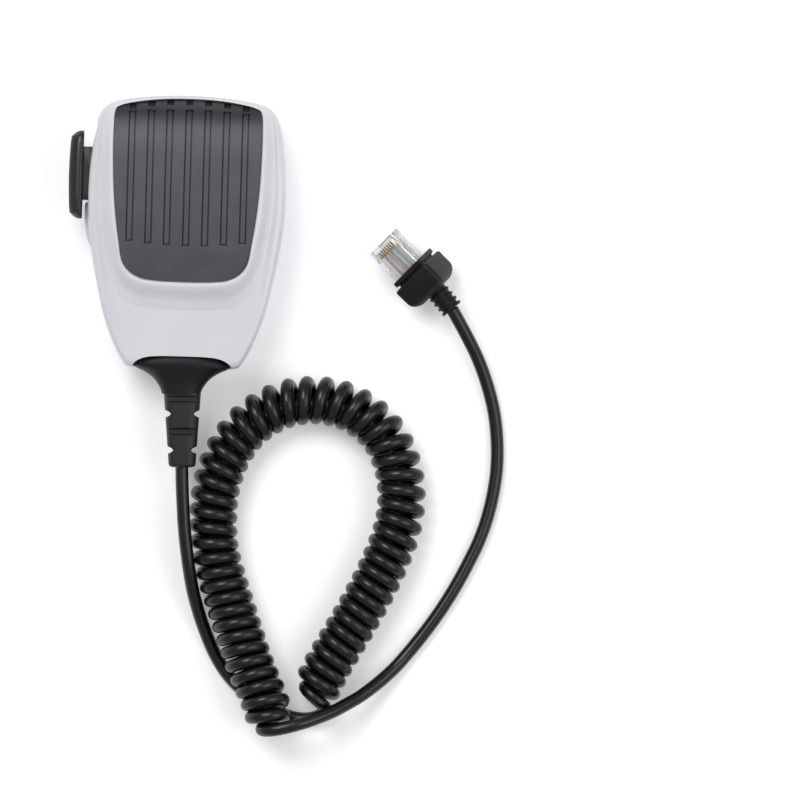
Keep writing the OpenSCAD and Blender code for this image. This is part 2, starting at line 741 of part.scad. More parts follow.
// Route of the free cord from the coil to the plug
plug_tail_route = [
    [39.6, -171.1, 20.2], [44, -169.8, 19.8], [48.3, -168.3, 18.4], [52.5, -166.6, 16.4],
    [56.5, -164.7, 14.2], [60.5, -162.4, 11.8], [64.7, -159.8, 9.2], [69, -156.5, 6.8],
    [73, -153, 4.8], [77, -149, 3.2], [81, -144.2, 2.4], [85, -139, 2.3], [89, -133.4, 2.3],
    [93, -127.2, 2.3], [97, -120.2, 2.3], [101, -112.2, 2.3], [104.2, -105, 2.3],
    [106.8, -97, 2.3], [108.6, -88.5, 2.3], [109.6, -79.5, 2.3], [109.4, -70, 2.3],
    [108, -60, 2.5], [105.3, -50.5, 3.6], [102, -42.2, 5.6], [98.8, -36, 7.8],
    [96.6, -31.2, 9.6], [94.4, -27.3, 10.4], [92.7, -25.4, 10.5]
];

module mic_tail() {
    color(black_rubber) tube(open_curve(mic_tail_route, 2), cord_d / 2, 8);
}

module curly_cord() {
    color(black_rubber) tube(open_curve(coil_route, 2), coil_r, 12);
}

module plug_tail() {
    color(black_rubber) tube(open_curve(plug_tail_route, 2), cord_d / 2, 8);
}

// ---- modular plug, made with its tip along +X and its contacts up ----

plug_at = [78.1, -10.8, 10.46];   // middle of the rubber boot's front face
plug_turn = 137;                  // direction that the plug points in, from +X
plug_roll = -26;                  // how far the plug lies over on its side
plug_tip = 13;                    // how far the plug stands out of the boot
plug_lift = 2.2;                  // height of the plug above the middle of the boot
relief_len = 8.3;                 // length of the plug's strain relief
plug_relief_lean = -5;            // turn of that relief away from the plug's own line
boot_len = 12.2;
cord_end_in = 3.6;                // how far the cord's jacket reaches into the boot
plug_len = 21.5;
contact_x = [8.6, 11.4];

module at_boot() {
    translate(plug_at) rotate([0, 0, plug_turn]) rotate([plug_roll, 0, 0]) children();
}

module at_plug() {
    at_boot() translate([0, 0, plug_lift]) children();
}

// Along the cord from the back of the boot
module at_relief() {
    translate(plug_at) rotate(plug_turn) translate([-boot_len, 0, 0]) rotate(plug_relief_lean)
        rotate([0, -90, 0]) children();
}

module centred(x0, x1, w, h) {
    translate([x0, -w / 2, -h / 2]) cube([x1 - x0, w, h]);
}

module each_contact() {
    for (i = [-3.5 : 3.5]) translate([0, i * contact_pitch, 0]) children();
}

module plug_body() {
    color([0.85, 0.88, 0.88, 0.4]) at_plug() difference() {
        centred(plug_tip - plug_len, plug_tip, plug_w, plug_h);
        centred(plug_tip - plug_len - 1, contact_x[0] + 1.2, 8 * contact_pitch + 0.5, 2.4);
        each_contact() translate([contact_x[0], -0.3, -0.4]) cube([contact_x[1] - contact_x[0], 0.6, 6]);
    }
}

module plug_contacts() {
    color([0.83, 0.68, 0.3]) at_plug() each_contact()
        translate([contact_x[0] + 0.2, -0.16, -0.3]) cube([contact_x[1] - contact_x[0] - 0.4, 0.32, plug_h / 2]);
}

module plug_wires() {
    color([0.6, 0.5, 0.35]) at_plug() each_contact()
        translate([plug_tip - plug_len + 0.3, 0, -0.75]) rotate([0, 90, 0])
            cylinder(r = 0.42, h = contact_x[0] + 0.9 - plug_tip + plug_len, $fn = 16);
}

latch_hinge = [plug_tip - 1, -plug_h / 2 - 0.47];
latch_slant = 17;
latch_len = 14;

module plug_latch() {
    color([0.85, 0.88, 0.88, 0.4]) at_plug() translate([latch_hinge[0], 0, latch_hinge[1]])
        rotate([0, -latch_slant, 0]) {
            rotate([90, 0, 0]) translate([0, 0, -3]) cylinder(r = 0.42, h = 6);
            translate([-4.4, -3, -0.42]) cube([4.4, 6, 0.84]);
            translate([-latch_len, -1.7, -0.42]) cube([latch_len - 4, 3.4, 0.84]);
        }
}

// Block with rounded edges along the plug
module rounded_block(x0, x1, w, h, r) {
    translate([x0, 0, 0]) rotate([90, 0, 90]) linear_extrude(x1 - x0)
        offset(r = r) square([w - 2 * r, h - 2 * r], center = true);
}

module plug_boot() {
    color(black_rubber) difference() {
        at_boot() {
            rounded_block(-1.8, 0, boot_side - 2.4, boot_side - 2.8, 1);
            rounded_block(-3, -1, boot_side - 4, boot_side - 4.2, 1);
            hull() {
                rounded_block(-8.6, -2.6, boot_side, boot_side, 1.5);
                rounded_block(-11.2, -8, boot_side - 1.6, boot_side - 1.6, 1.5);
                rounded_block(-boot_len, -8, boot_side - 5, boot_side - 5, 1.5);
            }
        }
        at_plug() centred(plug_tip - plug_len - 0.05, 1, plug_w + 0.1, plug_h + 0.1);
        at_boot() translate([-7, -3.7, -boot_side]) cube([8, 7.4, boot_side + plug_lift]);
        at_relief() translate([0, 0, -cord_end_in - 1]) cylinder(r = relief_bore, h = 10);
    }
}

module plug_relief() {
    color(black_rubber) difference() {
        at_relief() union() {
            translate([0, 0, -0.4]) cylinder(r1 = 3.5, r2 = 3.1, h = relief_len + 0.4);
            for (i = [0 : 3]) translate([0, 0, 1 + i * 2.1]) cylinder(r = 4, h = 1);
        }
        at_relief() translate([0, 0, -1]) cylinder(r = relief_bore, h = relief_len + 2);
        at_boot() translate([-boot_len, -10, -10]) cube([boot_len, 20, 20]);
    }
}

// The cord's jacket from the end of the plug's strain relief to the back of the plug
module plug_cord_end() {
    color(black_rubber) at_relief() translate([0, 0, -cord_end_in])
        cylinder(r = relief_bore, h = relief_len + cord_end_in);
}

front_shell();
rear_shell();
shell_gasket();
grille_panel();
dust_screen();
mic_capsule();
capsule_sleeve();
circuit_board();
board_parts();
board_screws();
ptt_switch();
ptt_switch_plunger();
ptt_lever();
ptt_pivot_pin();
ptt_spring();
wire_header();
wire_plug();
lead_wires();
case_screws();
hanger_stud();
stud_screw();
stud_washer();
cord_boot();
strain_relief();
cord_end();
cord_clamp();
clamp_screws();
mic_tail();
curly_cord();
plug_tail();
plug_relief();
plug_boot();
plug_body();
plug_latch();
plug_contacts();
plug_wires();
plug_cord_end();
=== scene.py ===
"""Looks of a hand microphone with a curly cord and a booted modular plug.

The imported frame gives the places. Shapes are worked out in millimetres, in the frame's own axes,
and each finished mesh is scaled to metres: +Z out of the grille, +Y to the top of the housing,
the talk lever at -X, and the floor at z = 0.
"""

from __future__ import annotations

import json
import logging
import math
from dataclasses import dataclass
from dataclasses import field
from enum import Enum
from typing import Sequence

import bmesh
import bpy
from mathutils import Matrix
from mathutils import Vector

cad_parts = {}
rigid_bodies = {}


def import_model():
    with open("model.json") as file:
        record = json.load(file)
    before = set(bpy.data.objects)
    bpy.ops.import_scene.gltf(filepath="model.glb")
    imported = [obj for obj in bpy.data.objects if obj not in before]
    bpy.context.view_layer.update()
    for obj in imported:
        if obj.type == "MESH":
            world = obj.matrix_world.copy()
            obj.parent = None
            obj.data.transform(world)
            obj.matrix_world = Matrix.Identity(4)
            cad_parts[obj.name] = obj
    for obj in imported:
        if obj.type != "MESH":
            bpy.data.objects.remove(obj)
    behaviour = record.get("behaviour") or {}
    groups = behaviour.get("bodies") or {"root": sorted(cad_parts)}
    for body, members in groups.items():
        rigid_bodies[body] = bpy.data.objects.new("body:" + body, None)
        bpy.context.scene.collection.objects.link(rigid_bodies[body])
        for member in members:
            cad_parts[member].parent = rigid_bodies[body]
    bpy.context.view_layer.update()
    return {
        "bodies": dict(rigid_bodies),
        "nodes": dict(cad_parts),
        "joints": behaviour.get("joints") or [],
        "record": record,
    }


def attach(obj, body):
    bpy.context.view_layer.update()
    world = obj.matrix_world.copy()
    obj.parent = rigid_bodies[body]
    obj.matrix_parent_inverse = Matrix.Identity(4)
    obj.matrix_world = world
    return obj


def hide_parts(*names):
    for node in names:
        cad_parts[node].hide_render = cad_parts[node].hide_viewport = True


LOG = logging.getLogger("hand_microphone")
MM = 0.001  # metres in a millimetre
NOISE_SPAN = (0.3, 0.7)  # noise seldom leaves this span, so it is stretched to the full range
MIX_SHARE, MIX_FIRST, MIX_SECOND, MIX_RESULT = 0, 6, 7, 2  # sockets of a Mix node set to RGBA

Point = tuple[float, float]
Place = tuple[float, float, float]
Tree = bpy.types.NodeTree
Socket = bpy.types.NodeSocket


# ---------------------------------------------------------------- colours and nodes


def linear(hex_code: str) -> tuple[float, float, float, float]:
    """Turns an sRGB hex colour into linear values.

    Args:
        hex_code: six hex digits, with or without a leading hash.

    Returns:
        Linear red, green, blue and an alpha of 1.
    """
    digits = hex_code.lstrip("#")
    shares = [int(digits[i : i + 2], 16) / 255 for i in (0, 2, 4)]
    r, g, b = (c / 12.92 if c <= 0.04045 else ((c + 0.055) / 1.055) ** 2.4 for c in shares)
    return (r, g, b, 1.0)


def add_node(
    tree: Tree,
    kind: str,
    settings: dict[str | int, object] | None = None,
    links: dict[str | int, Socket] | None = None,
) -> bpy.types.Node:
    """Adds a node, sets it up and links its inputs.

    Args:
        tree: the material's node tree.
        kind: the node's type name.
        settings: values by the name of a property of the node, or of one of its inputs.
        links: outputs of other nodes by the name or number of the input they feed.

    Returns:
        The new node.
    """
    node = tree.nodes.new(kind)
    for name, value in (settings or {}).items():
        if isinstance(name, str) and hasattr(node, name):
            setattr(node, name, value)
        else:
            node.inputs[name].default_value = value
    for name, source in (links or {}).items():
        tree.links.new(source, node.inputs[name])
    return node


def ranged(tree: Tree, value: Socket, span: Point, to: Point = (0.0, 1.0)) -> Socket:
    """Maps one span of a value onto another.

    Args:
        tree: the material's node tree.
        value: the value's output.
        span: the lowest and highest value that count.
        to: what they become.

    Returns:
        The mapped output.
    """
    ends = {"From Min": span[0], "From Max": span[1], "To Min": to[0], "To Max": to[1]}
    return add_node(tree, "ShaderNodeMapRange", ends, {"Value": value}).outputs["Result"]


def mixed(tree: Tree, share: Socket, first: str | Socket, second: str | Socket) -> Socket:
    """Mixes two colours.

    Args:
        tree: the material's node tree.
        share: how much of the second shows.
        first: a hex colour, or an output.
        second: a hex colour, or an output.

    Returns:
        The colour output.
    """
    ends = {MIX_FIRST: first, MIX_SECOND: second}
    plain = {end: linear(paint) for end, paint in ends.items() if isinstance(paint, str)}
    linked = {end: paint for end, paint in ends.items() if not isinstance(paint, str)}
    node = add_node(
        tree, "ShaderNodeMix", {"data_type": "RGBA", **plain}, {MIX_SHARE: share, **linked}
    )
    return node.outputs[MIX_RESULT]


@dataclass(frozen=True)
class Finish:
    """A surface with a slow drift of colour and a fine grain.

    The grain and drift sizes are millimetres across one spot, and grain_depth is the height of the
    grain in millimetres.
    """

    name: str
    colour: str
    drift_colour: str
    roughness: float
    drift: float = 14.0
    grain: float = 0.3
    grain_depth: float = 0.01
    roughness_spread: float = 0.06
    metallic: float = 0.0
    ior: float = 1.5
    specular: float = 0.5
    transmission: float = 0.0
    glow: float = 0.0
    stretch: Place = (1.0, 1.0, 1.0)

    def base_colour(self, tree: Tree, coords: Socket) -> Socket:
        """Mixes the two colours over slow noise.

        Args:
            tree: the material's node tree.
            coords: object coordinates, in metres.

        Returns:
            The colour output.
        """
        spots = add_node(
            tree,
            "ShaderNodeTexNoise",
            {"Scale": 1 / (self.drift * MM), "Detail": 3.0, "Roughness": 0.55},
            {"Vector": coords},
        )
        share = ranged(tree, spots.outputs["Fac"], NOISE_SPAN)
        return mixed(tree, share, self.colour, self.drift_colour)

    def height(self, tree: Tree, coords: Socket) -> Socket:
        """Gives the grain's height, from 0 to 1.

        Args:
            tree: the material's node tree.
            coords: object coordinates, in metres.

        Returns:
            The height output.
        """
        shaped = add_node(tree, "ShaderNodeMapping", {"Scale": self.stretch}, {"Vector": coords})
        grain = add_node(
            tree,
            "ShaderNodeTexNoise",
            {"Scale": 1 / (self.grain * MM), "Detail": 2.0, "Roughness": 0.6},
            {"Vector": shaped.outputs["Vector"]},
        )
        return grain.outputs["Fac"]

    def build(self) -> bpy.types.Material:
        """Makes the material.

        Returns:
            The material, ready to use.
        """
        material = bpy.data.materials.new(self.name)
        material.use_nodes = True
        tree = material.node_tree
        tree.nodes.clear()
        coords = add_node(tree, "ShaderNodeTexCoord").outputs["Object"]
        height = self.height(tree, coords)
        bump = add_node(
            tree,
            "ShaderNodeBump",
            {"Strength": 1.0, "Distance": self.grain_depth * MM},
            {"Height": height},
        )
        smoothest = max(self.roughness - self.roughness_spread, 0.02)
        rough = ranged(
            tree, height, NOISE_SPAN, (smoothest, self.roughness + self.roughness_spread)
        )
        shader = add_node(
            tree,
            "ShaderNodeBsdfPrincipled",
            {
                "Metallic": self.metallic,
                "IOR": self.ior,
                "Specular IOR Level": self.specular,
                "Transmission Weight": self.transmission,
                "Emission Color": linear(self.colour),
                "Emission Strength": self.glow,
            },
            {
                "Base Color": self.base_colour(tree, coords),
                "Roughness": rough,
                "Normal": bump.outputs["Normal"],
            },
        )
        add_node(tree, "ShaderNodeOutputMaterial", links={"Surface": shader.outputs["BSDF"]})
        return material


@dataclass(frozen=True)
class PaintedShadeFinish(Finish):
    """A surface with painted shade: darker past a place along the y axis, in millimetres."""

    painted_shade_colour: str = "#222326"
    painted_shade_from: float = 35.5
    painted_shade_to: float = 39.5

    def base_colour(self, tree: Tree, coords: Socket) -> Socket:
        """Mixes in the darker colour of the painted shade.

        Args:
            tree: the material's node tree.
            coords: object coordinates, in metres.

        Returns:
            The colour output.
        """
        split = add_node(tree, "ShaderNodeSeparateXYZ", links={"Vector": coords})
        # Painted shade: the top band turns darker, where the panel rolls away from the lights.
        share = ranged(tree, split.outputs["Y"], (self.painted_shade_from * MM, self.painted_shade_to * MM))
        return mixed(tree, share, Finish.base_colour(self, tree, coords), self.painted_shade_colour)


@dataclass(frozen=True)
class Weave(Finish):
    """A plain weave of round threads, drawn by two crossed waves."""

    thread: float = 0.35
    waves_a_thread: float = 0.31

    def height(self, tree: Tree, coords: Socket) -> Socket:
        """Gives the threads' height, from 0 to 1.

        Args:
            tree: the material's node tree.
            coords: object coordinates, in metres.

        Returns:
            The height output.
        """
        waves = [
            add_node(
                tree,
                "ShaderNodeTexWave",
                {
                    "bands_direction": axis,
                    "Scale": self.waves_a_thread / (self.thread * MM),
                    "Distortion": 0.3,
                },
                {"Vector": coords},
            )
            for axis in ("X", "Y")
        ]
        crossed = add_node(
            tree,
            "ShaderNodeMath",
            {"operation": "MULTIPLY"},
            {0: waves[0].outputs["Fac"], 1: waves[1].outputs["Fac"]},
        )
        return crossed.outputs["Value"]


@dataclass(frozen=True)
class Laminate(Finish):
    """Circuit board laminate, with copper tracks that show as paler lines under the mask."""

    track: str = "#4c8a52"
    track_pitch: float = 1.9
    band: float = 0.13
    band_edge: Point = (0.085, 0.095)

    def base_colour(self, tree: Tree, coords: Socket) -> Socket:
        """Draws squared tracks over the mask's colour.

        Args:
            tree: the material's node tree.
            coords: object coordinates, in metres.

        Returns:
            The colour output.
        """
        cells = add_node(
            tree,
            "ShaderNodeTexVoronoi",
            {
                "distance": "CHEBYCHEV",
                "feature": "F1",
                "Scale": 1 / (2 * self.track_pitch * MM),
                "Randomness": 0.8,
            },
            {"Vector": coords},
        )
        bands = add_node(
            tree,
            "ShaderNodeMath",
            {"operation": "PINGPONG", 1: self.band},
            {0: cells.outputs["Distance"]},
        )
        share = ranged(tree, bands.outputs["Value"], self.band_edge)
        return mixed(tree, share, Finish.base_colour(self, tree, coords), self.track)


@dataclass(frozen=True)
class Insulated(Finish):
    """Wire insulation, whose colour is stored on each wire's own points."""

    attribute: str = "insulation"

    def base_colour(self, tree: Tree, coords: Socket) -> Socket:
        """Reads the colour from the wires.

        Args:
            tree: the material's node tree.
            coords: object coordinates, in metres.

        Returns:
            The colour output.
        """
        stored = add_node(tree, "ShaderNodeVertexColor", {"layer_name": self.attribute})
        mix = add_node(
            tree,
            "ShaderNodeMix",
            {"data_type": "RGBA", "blend_type": "MULTIPLY", MIX_SHARE: 1.0},
            {
                MIX_FIRST: stored.outputs["Color"],
                MIX_SECOND: Finish.base_colour(self, tree, coords),
            },
        )
        return mix.outputs[MIX_RESULT]


class Finishes:
    """Every finish on the microphone, made once and kept by its slot's name."""

    def __init__(self) -> None:
        # Moulded ABS with a silver tint. The fine spark texture of the mould makes it satin.
        abs_silver = Finish(
            "moulded_abs_silver_grey", "#CFCFD4", "#CACBD0", 0.4, 22.0, 0.32, 0.006, 0.05
        )
        # Moulded ABS from a coarser spark-eroded mould. It reads as a dry, dark slate. Where the
        # panel rolls over at the top, a darker colour is painted in as shade, because that face
        # turns away from the lights.
        abs_slate_painted_shade = PaintedShadeFinish(
            "spark_textured_abs_slate_painted_shade", "#45464B", "#3D3E43", 0.46, 9.0, 0.36, 0.018, 0.08
        )
        # Moulded acetal on the lever: dense black, smooth enough for long soft highlights.
        acetal_black = Finish(
            "moulded_acetal_black", "#131315", "#19191B", 0.34, 10.0, 0.3, 0.006, 0.05
        )
        # Moulded thermoplastic elastomer: the boot shows no sharp reflection.
        elastomer = Finish(
            "moulded_elastomer_black", "#07080A", "#0C0D0F", 0.5, 8.0, 0.28, 0.012, 0.07,
            specular=0.3,
        )
        # Flexible PVC that is moulded over the cord, with a dusty bloom that greys it.
        pvc_charcoal = Finish(
            "moulded_pvc_charcoal", "#17171A", "#1D1D20", 0.48, 6.0, 0.28, 0.014, 0.07,
            specular=0.35,
        )
        # Extruded polyurethane jacket: a wet-looking black with a soft broad highlight.
        jacket = Finish(
            "extruded_polyurethane_black", "#060607", "#0A0A0B", 0.3, 5.0, 0.5, 0.004, 0.05,
            specular=0.42,
        )
        # Cut nitrile rubber: flat black.
        nitrile = Finish("cut_nitrile_black", "#161617", "#1C1C1D", 0.72, 3.0, 0.25, 0.02, 0.1)
        # Clear injection moulded polycarbonate.
        polycarbonate = Finish(
            "moulded_polycarbonate_clear", "#FBFCFC", "#F6F8F8", 0.08, 8.0, 2.5, 0.004, 0.02,
            ior=1.585, transmission=0.84,
        )
        # Phosphor bronze blades with a flash of gold.
        gold = Finish(
            "gold_plated_bronze", "#E2B866", "#D9A956", 0.22, 1.0, 0.2, 0.002, 0.05, metallic=1.0
        )
        # Turned steel under nickel: warm white, with faint lathe rings from the stretched grain.
        nickel = Finish(
            "nickel_plated_turned_steel", "#C9C7C1", "#BDBBB6", 0.24, 3.0, 0.25, 0.003, 0.06,
            metallic=1.0, stretch=(1.0, 1.0, 6.0),
        )
        # Cold-headed steel screws under clear zinc: bluish, a little cloudy.
        zinc = Finish(
            "zinc_plated_steel", "#BFC3C9", "#AEB2B8", 0.32, 1.5, 0.2, 0.004, 0.08, metallic=1.0
        )
        # Drawn aluminium can of the capsule.
        aluminium = Finish(
            "drawn_aluminium", "#CFD1D3", "#C4C6C9", 0.3, 2.0, 0.2, 0.003, 0.06,
            metallic=1.0, stretch=(1.0, 1.0, 0.2),
        )
        # Woven polyester screen, dyed black. The threads are drawn coarser than the real 0.1 mm.
        screen = Weave("woven_polyester_black", "#121213", "#1B1B1D", 0.7, 4.0, grain_depth=0.08)
        # Glass-epoxy board under green solder mask.
        laminate = Laminate("glass_epoxy_green_mask", "#1E5A35", "#1A5230", 0.28, 9.0, 0.4, 0.006)
        # Moulding resin of the electronic parts.
        resin = Finish("moulded_epoxy_resin", "#1F1F22", "#28282B", 0.55, 2.0, 0.15, 0.01)
        # Natural nylon of the wire header.
        nylon = Finish("moulded_nylon_natural", "#E6E1D2", "#DDD7C6", 0.4, 4.0, 0.25, 0.006)
        # Red acetal plunger, left as moulded.
        acetal_red = Finish("moulded_acetal_red", "#A8321F", "#9C2C1B", 0.36, 2.0, 0.2, 0.004)
        # Extruded PVC insulation, a colour to each wire.
        insulation = Insulated("extruded_pvc_insulation", "#FFFFFF", "#ECECEC", 0.35, 2.0, 0.3)
        # The same insulation inside the housing, where the five leads are all black.
        inner_wires = Finish("extruded_pvc_insulation_black", "#1A1A1C", "#222224", 0.35, 2.0, 0.3)
        slots = {
            "housing_plastic": abs_silver,
            "grille_plastic": abs_slate_painted_shade,
            "lever_plastic": acetal_black,
            "boot_rubber": elastomer,
            "relief_pvc": pvc_charcoal,
            "inner_wires": inner_wires,
            "cord_jacket": jacket,
            "gasket_rubber": nitrile,
            "clear_plastic": polycarbonate,
            "contact_gold": gold,
            "stud_steel": nickel,
            "screw_steel": zinc,
            "capsule_metal": aluminium,
            "screen_fabric": screen,
            "board_laminate": laminate,
            "component_resin": resin,
            "connector_nylon": nylon,
            "plunger_plastic": acetal_red,
            "wire_insulation": insulation,
        }
        self.made = {slot: finish.build() for slot, finish in slots.items()}

    def __getitem__(self, slot: str) -> bpy.types.Material:
        """The material of a slot."""
        return self.made[slot]


# ---------------------------------------------------------------- curves and meshes


def curve_through(points: Sequence[Sequence[float]], steps: int, closed: bool) -> list[Vector]:
    """Runs a smooth curve through points.

    Args:
        points: the points that the curve passes through, in two or three dimensions.
        steps: points of the curve for each span between two given ones.
        closed: whether the last point joins the first.

    Returns:
        Points along the curve.
    """
    given = [Vector(p) for p in points]
    count = len(given)
    spans = count if closed else count - 1

    def at(i: int) -> Vector:
        """The given point at i, wrapped or held at the ends."""
        return given[i % count] if closed else given[min(max(i, 0), count - 1)]

    curve = []
    for i in range(spans):
        a, b, c, d = (at(i + k) for k in (-1, 0, 1, 2))
        for step in range(steps):
            t = step / steps
            curve.append(
                0.5 * (2 * b + (c - a) * t + (2 * a - 5 * b + 4 * c - d) * t * t
                       + (3 * b - a - 3 * c + d) * t ** 3)
            )
    if not closed:
        curve.append(given[-1])
    return curve


def mirrored(half: Sequence[Point]) -> list[Point]:
    """Completes an outline whose right half runs from the top centre to the bottom centre."""
    return list(half) + [(-x, y) for x, y in half[-2:0:-1]]


def on_oval(wide: float, deep: float, power: float, angle: float) -> Point:
    """A place on an oval, which is squarer the lower its power is."""
    x, y = math.cos(angle), math.sin(angle)
    return math.copysign(wide * abs(x) ** power, x), math.copysign(deep * abs(y) ** power, y)


@dataclass(frozen=True)
class Profile:
    """A height that changes smoothly along one coordinate, through a few known places."""

    knots: tuple[Point, ...]

    def __call__(self, x: float) -> float:
        """Reads the height.

        Args:
            x: the coordinate, which is held within the known places.

        Returns:
            The height there.
        """
        ks = self.knots
        x = min(max(x, ks[0][0]), ks[-1][0])
        i = next(k for k in range(len(ks) - 1) if x <= ks[k + 1][0])
        slopes = []
        for k in (i, i + 1):
            low, high = max(k - 1, 0), min(k + 1, len(ks) - 1)
            slopes.append((ks[high][1] - ks[low][1]) / (ks[high][0] - ks[low][0]))
        span = ks[i + 1][0] - ks[i][0]
        t = (x - ks[i][0]) / span
        return (
            (2 * t ** 3 - 3 * t * t + 1) * ks[i][1]
            + (t ** 3 - 2 * t * t + t) * span * slopes[0]
            + (3 * t * t - 2 * t ** 3) * ks[i + 1][1]
            + (t ** 3 - t * t) * span * slopes[1]
        )


class Operation(Enum):
    """What a tool solid does to a piece."""

    JOIN = "UNION"
    CUT = "DIFFERENCE"
    KEEP = "INTERSECT"


class Form:
    """A mesh in the making, in millimetres."""

    def __init__(self) -> None:
        self.bm = bmesh.new()

    def loft(self, rings: Sequence[Sequence[Sequence[float]]], caps: bool = True) -> Form:
        """Adds a skin through rings of equal length.

        Args:
            rings: the rings, each a closed loop of places.
            caps: whether the two ends are closed. Without caps, the last ring joins the first.

        Returns:
            This form.
        """
        loop = bmesh.ops.create_circle(self.bm, segments=len(rings[0]), radius=1.0)["verts"]
        edges = list({e for v in loop for e in v.link_edges})
        first_edges = edges
        self._place(loop, rings[0])
        for ring in rings[1:]:
            grown = bmesh.ops.extrude_edge_only(self.bm, edges=edges)["geom"]
            fresh = {g for g in grown if isinstance(g, bmesh.types.BMVert)}
            loop = [
                next(e.other_vert(v) for e in v.link_edges if e.other_vert(v) in fresh)
                for v in loop
            ]
            edges = [
                g for g in grown if isinstance(g, bmesh.types.BMEdge)
                and g.verts[0] in fresh and g.verts[1] in fresh
            ]
            self._place(loop, ring)
        if caps:
            for ends in (first_edges, edges):
                bmesh.ops.contextual_create(self.bm, geom=ends)
        else:
            bmesh.ops.bridge_loops(self.bm, edges=first_edges + edges)
        return self

    @staticmethod
    def _place(loop: Sequence[bmesh.types.BMVert], ring: Sequence[Sequence[float]]) -> None:
        """Moves the points of a loop to the places of a ring."""
        for vert, place in zip(loop, ring):
            vert.co = place

    def block(
        self, low: Place, high: Place, bevel: float = 0.0, segments: int = 3
    ) -> Form:
        """Adds a block between two corners, with its edges rounded.

        Args:
            low: its lowest corner.
            high: its highest corner.
            bevel: radius of its edges.
            segments: faces across each edge.

        Returns:
            This form.
        """
        size = Vector(high) - Vector(low)
        middle = (Vector(high) + Vector(low)) / 2
        made = bmesh.ops.create_cube(
            self.bm, size=1.0, matrix=Matrix.Translation(middle) @ Matrix.Diagonal((*size, 1.0))
        )
        if bevel:
            edges = list({e for v in made["verts"] for e in v.link_edges})
            bmesh.ops.bevel(
                self.bm, geom=edges, offset=bevel, offset_type="OFFSET", segments=segments,
                profile=0.5, affect="EDGES", material=-1, clamp_overlap=True,
            )
        return self

    def post(
        self, centre: Point, low: float, high: float, radius: float, top: float | None = None,
        segments: int = 48,
    ) -> Form:
        """Adds an upright cylinder or cone.

        Args:
            centre: its axis, in x and y.
            low: height of its foot.
            high: height of its top.
            radius: radius at its foot.
            top: radius at its top, if that is different.
            segments: faces round it.

        Returns:
            This form.
        """
        bmesh.ops.create_cone(
            self.bm, cap_ends=True, segments=segments, radius1=radius,
            radius2=radius if top is None else top, depth=high - low,
            matrix=Matrix.Translation((*centre, (low + high) / 2)),
        )
        return self

    def spin(self, outline: Sequence[Point], segments: int = 64) -> Form:
        """Adds a solid turned about the z axis.

        Args:
            outline: radius and height of the turned line, which starts and ends on the axis.
            segments: faces round it.

        Returns:
            This form.
        """
        verts = [self.bm.verts.new((r, 0.0, z)) for r, z in outline]
        edges = [self.bm.edges.new(pair) for pair in zip(verts, verts[1:])]
        bmesh.ops.spin(
            self.bm, geom=verts + edges, cent=(0, 0, 0), axis=(0, 0, 1), angle=2 * math.pi,
            steps=segments, use_merge=True, use_duplicate=False,
        )
        return self

    def move(self, matrix: Matrix) -> Form:
        """Moves everything made so far, by a matrix."""
        bmesh.ops.transform(self.bm, matrix=matrix, verts=self.bm.verts)
        return self

    def mesh(self, name: str) -> bpy.types.Mesh:
        """Ends the form as a mesh in metres, with its faces pointing outwards.

        Args:
            name: the mesh's name.

        Returns:
            The mesh.
        """
        bmesh.ops.remove_doubles(self.bm, verts=self.bm.verts, dist=1e-4)
        bmesh.ops.recalc_face_normals(self.bm, faces=self.bm.faces)
        bmesh.ops.scale(self.bm, vec=(MM, MM, MM), verts=self.bm.verts)
        mesh = bpy.data.meshes.new(name)
        self.bm.to_mesh(mesh)
        self.bm.free()
        return mesh


def baked(obj: bpy.types.Object) -> None:
    """Puts what an object's modifiers make into its mesh, and takes them off."""
    view = bpy.context.evaluated_depsgraph_get()
    view.update()
    mesh = bpy.data.meshes.new_from_object(obj.evaluated_get(view))
    obj.modifiers.clear()
    obj.data = mesh


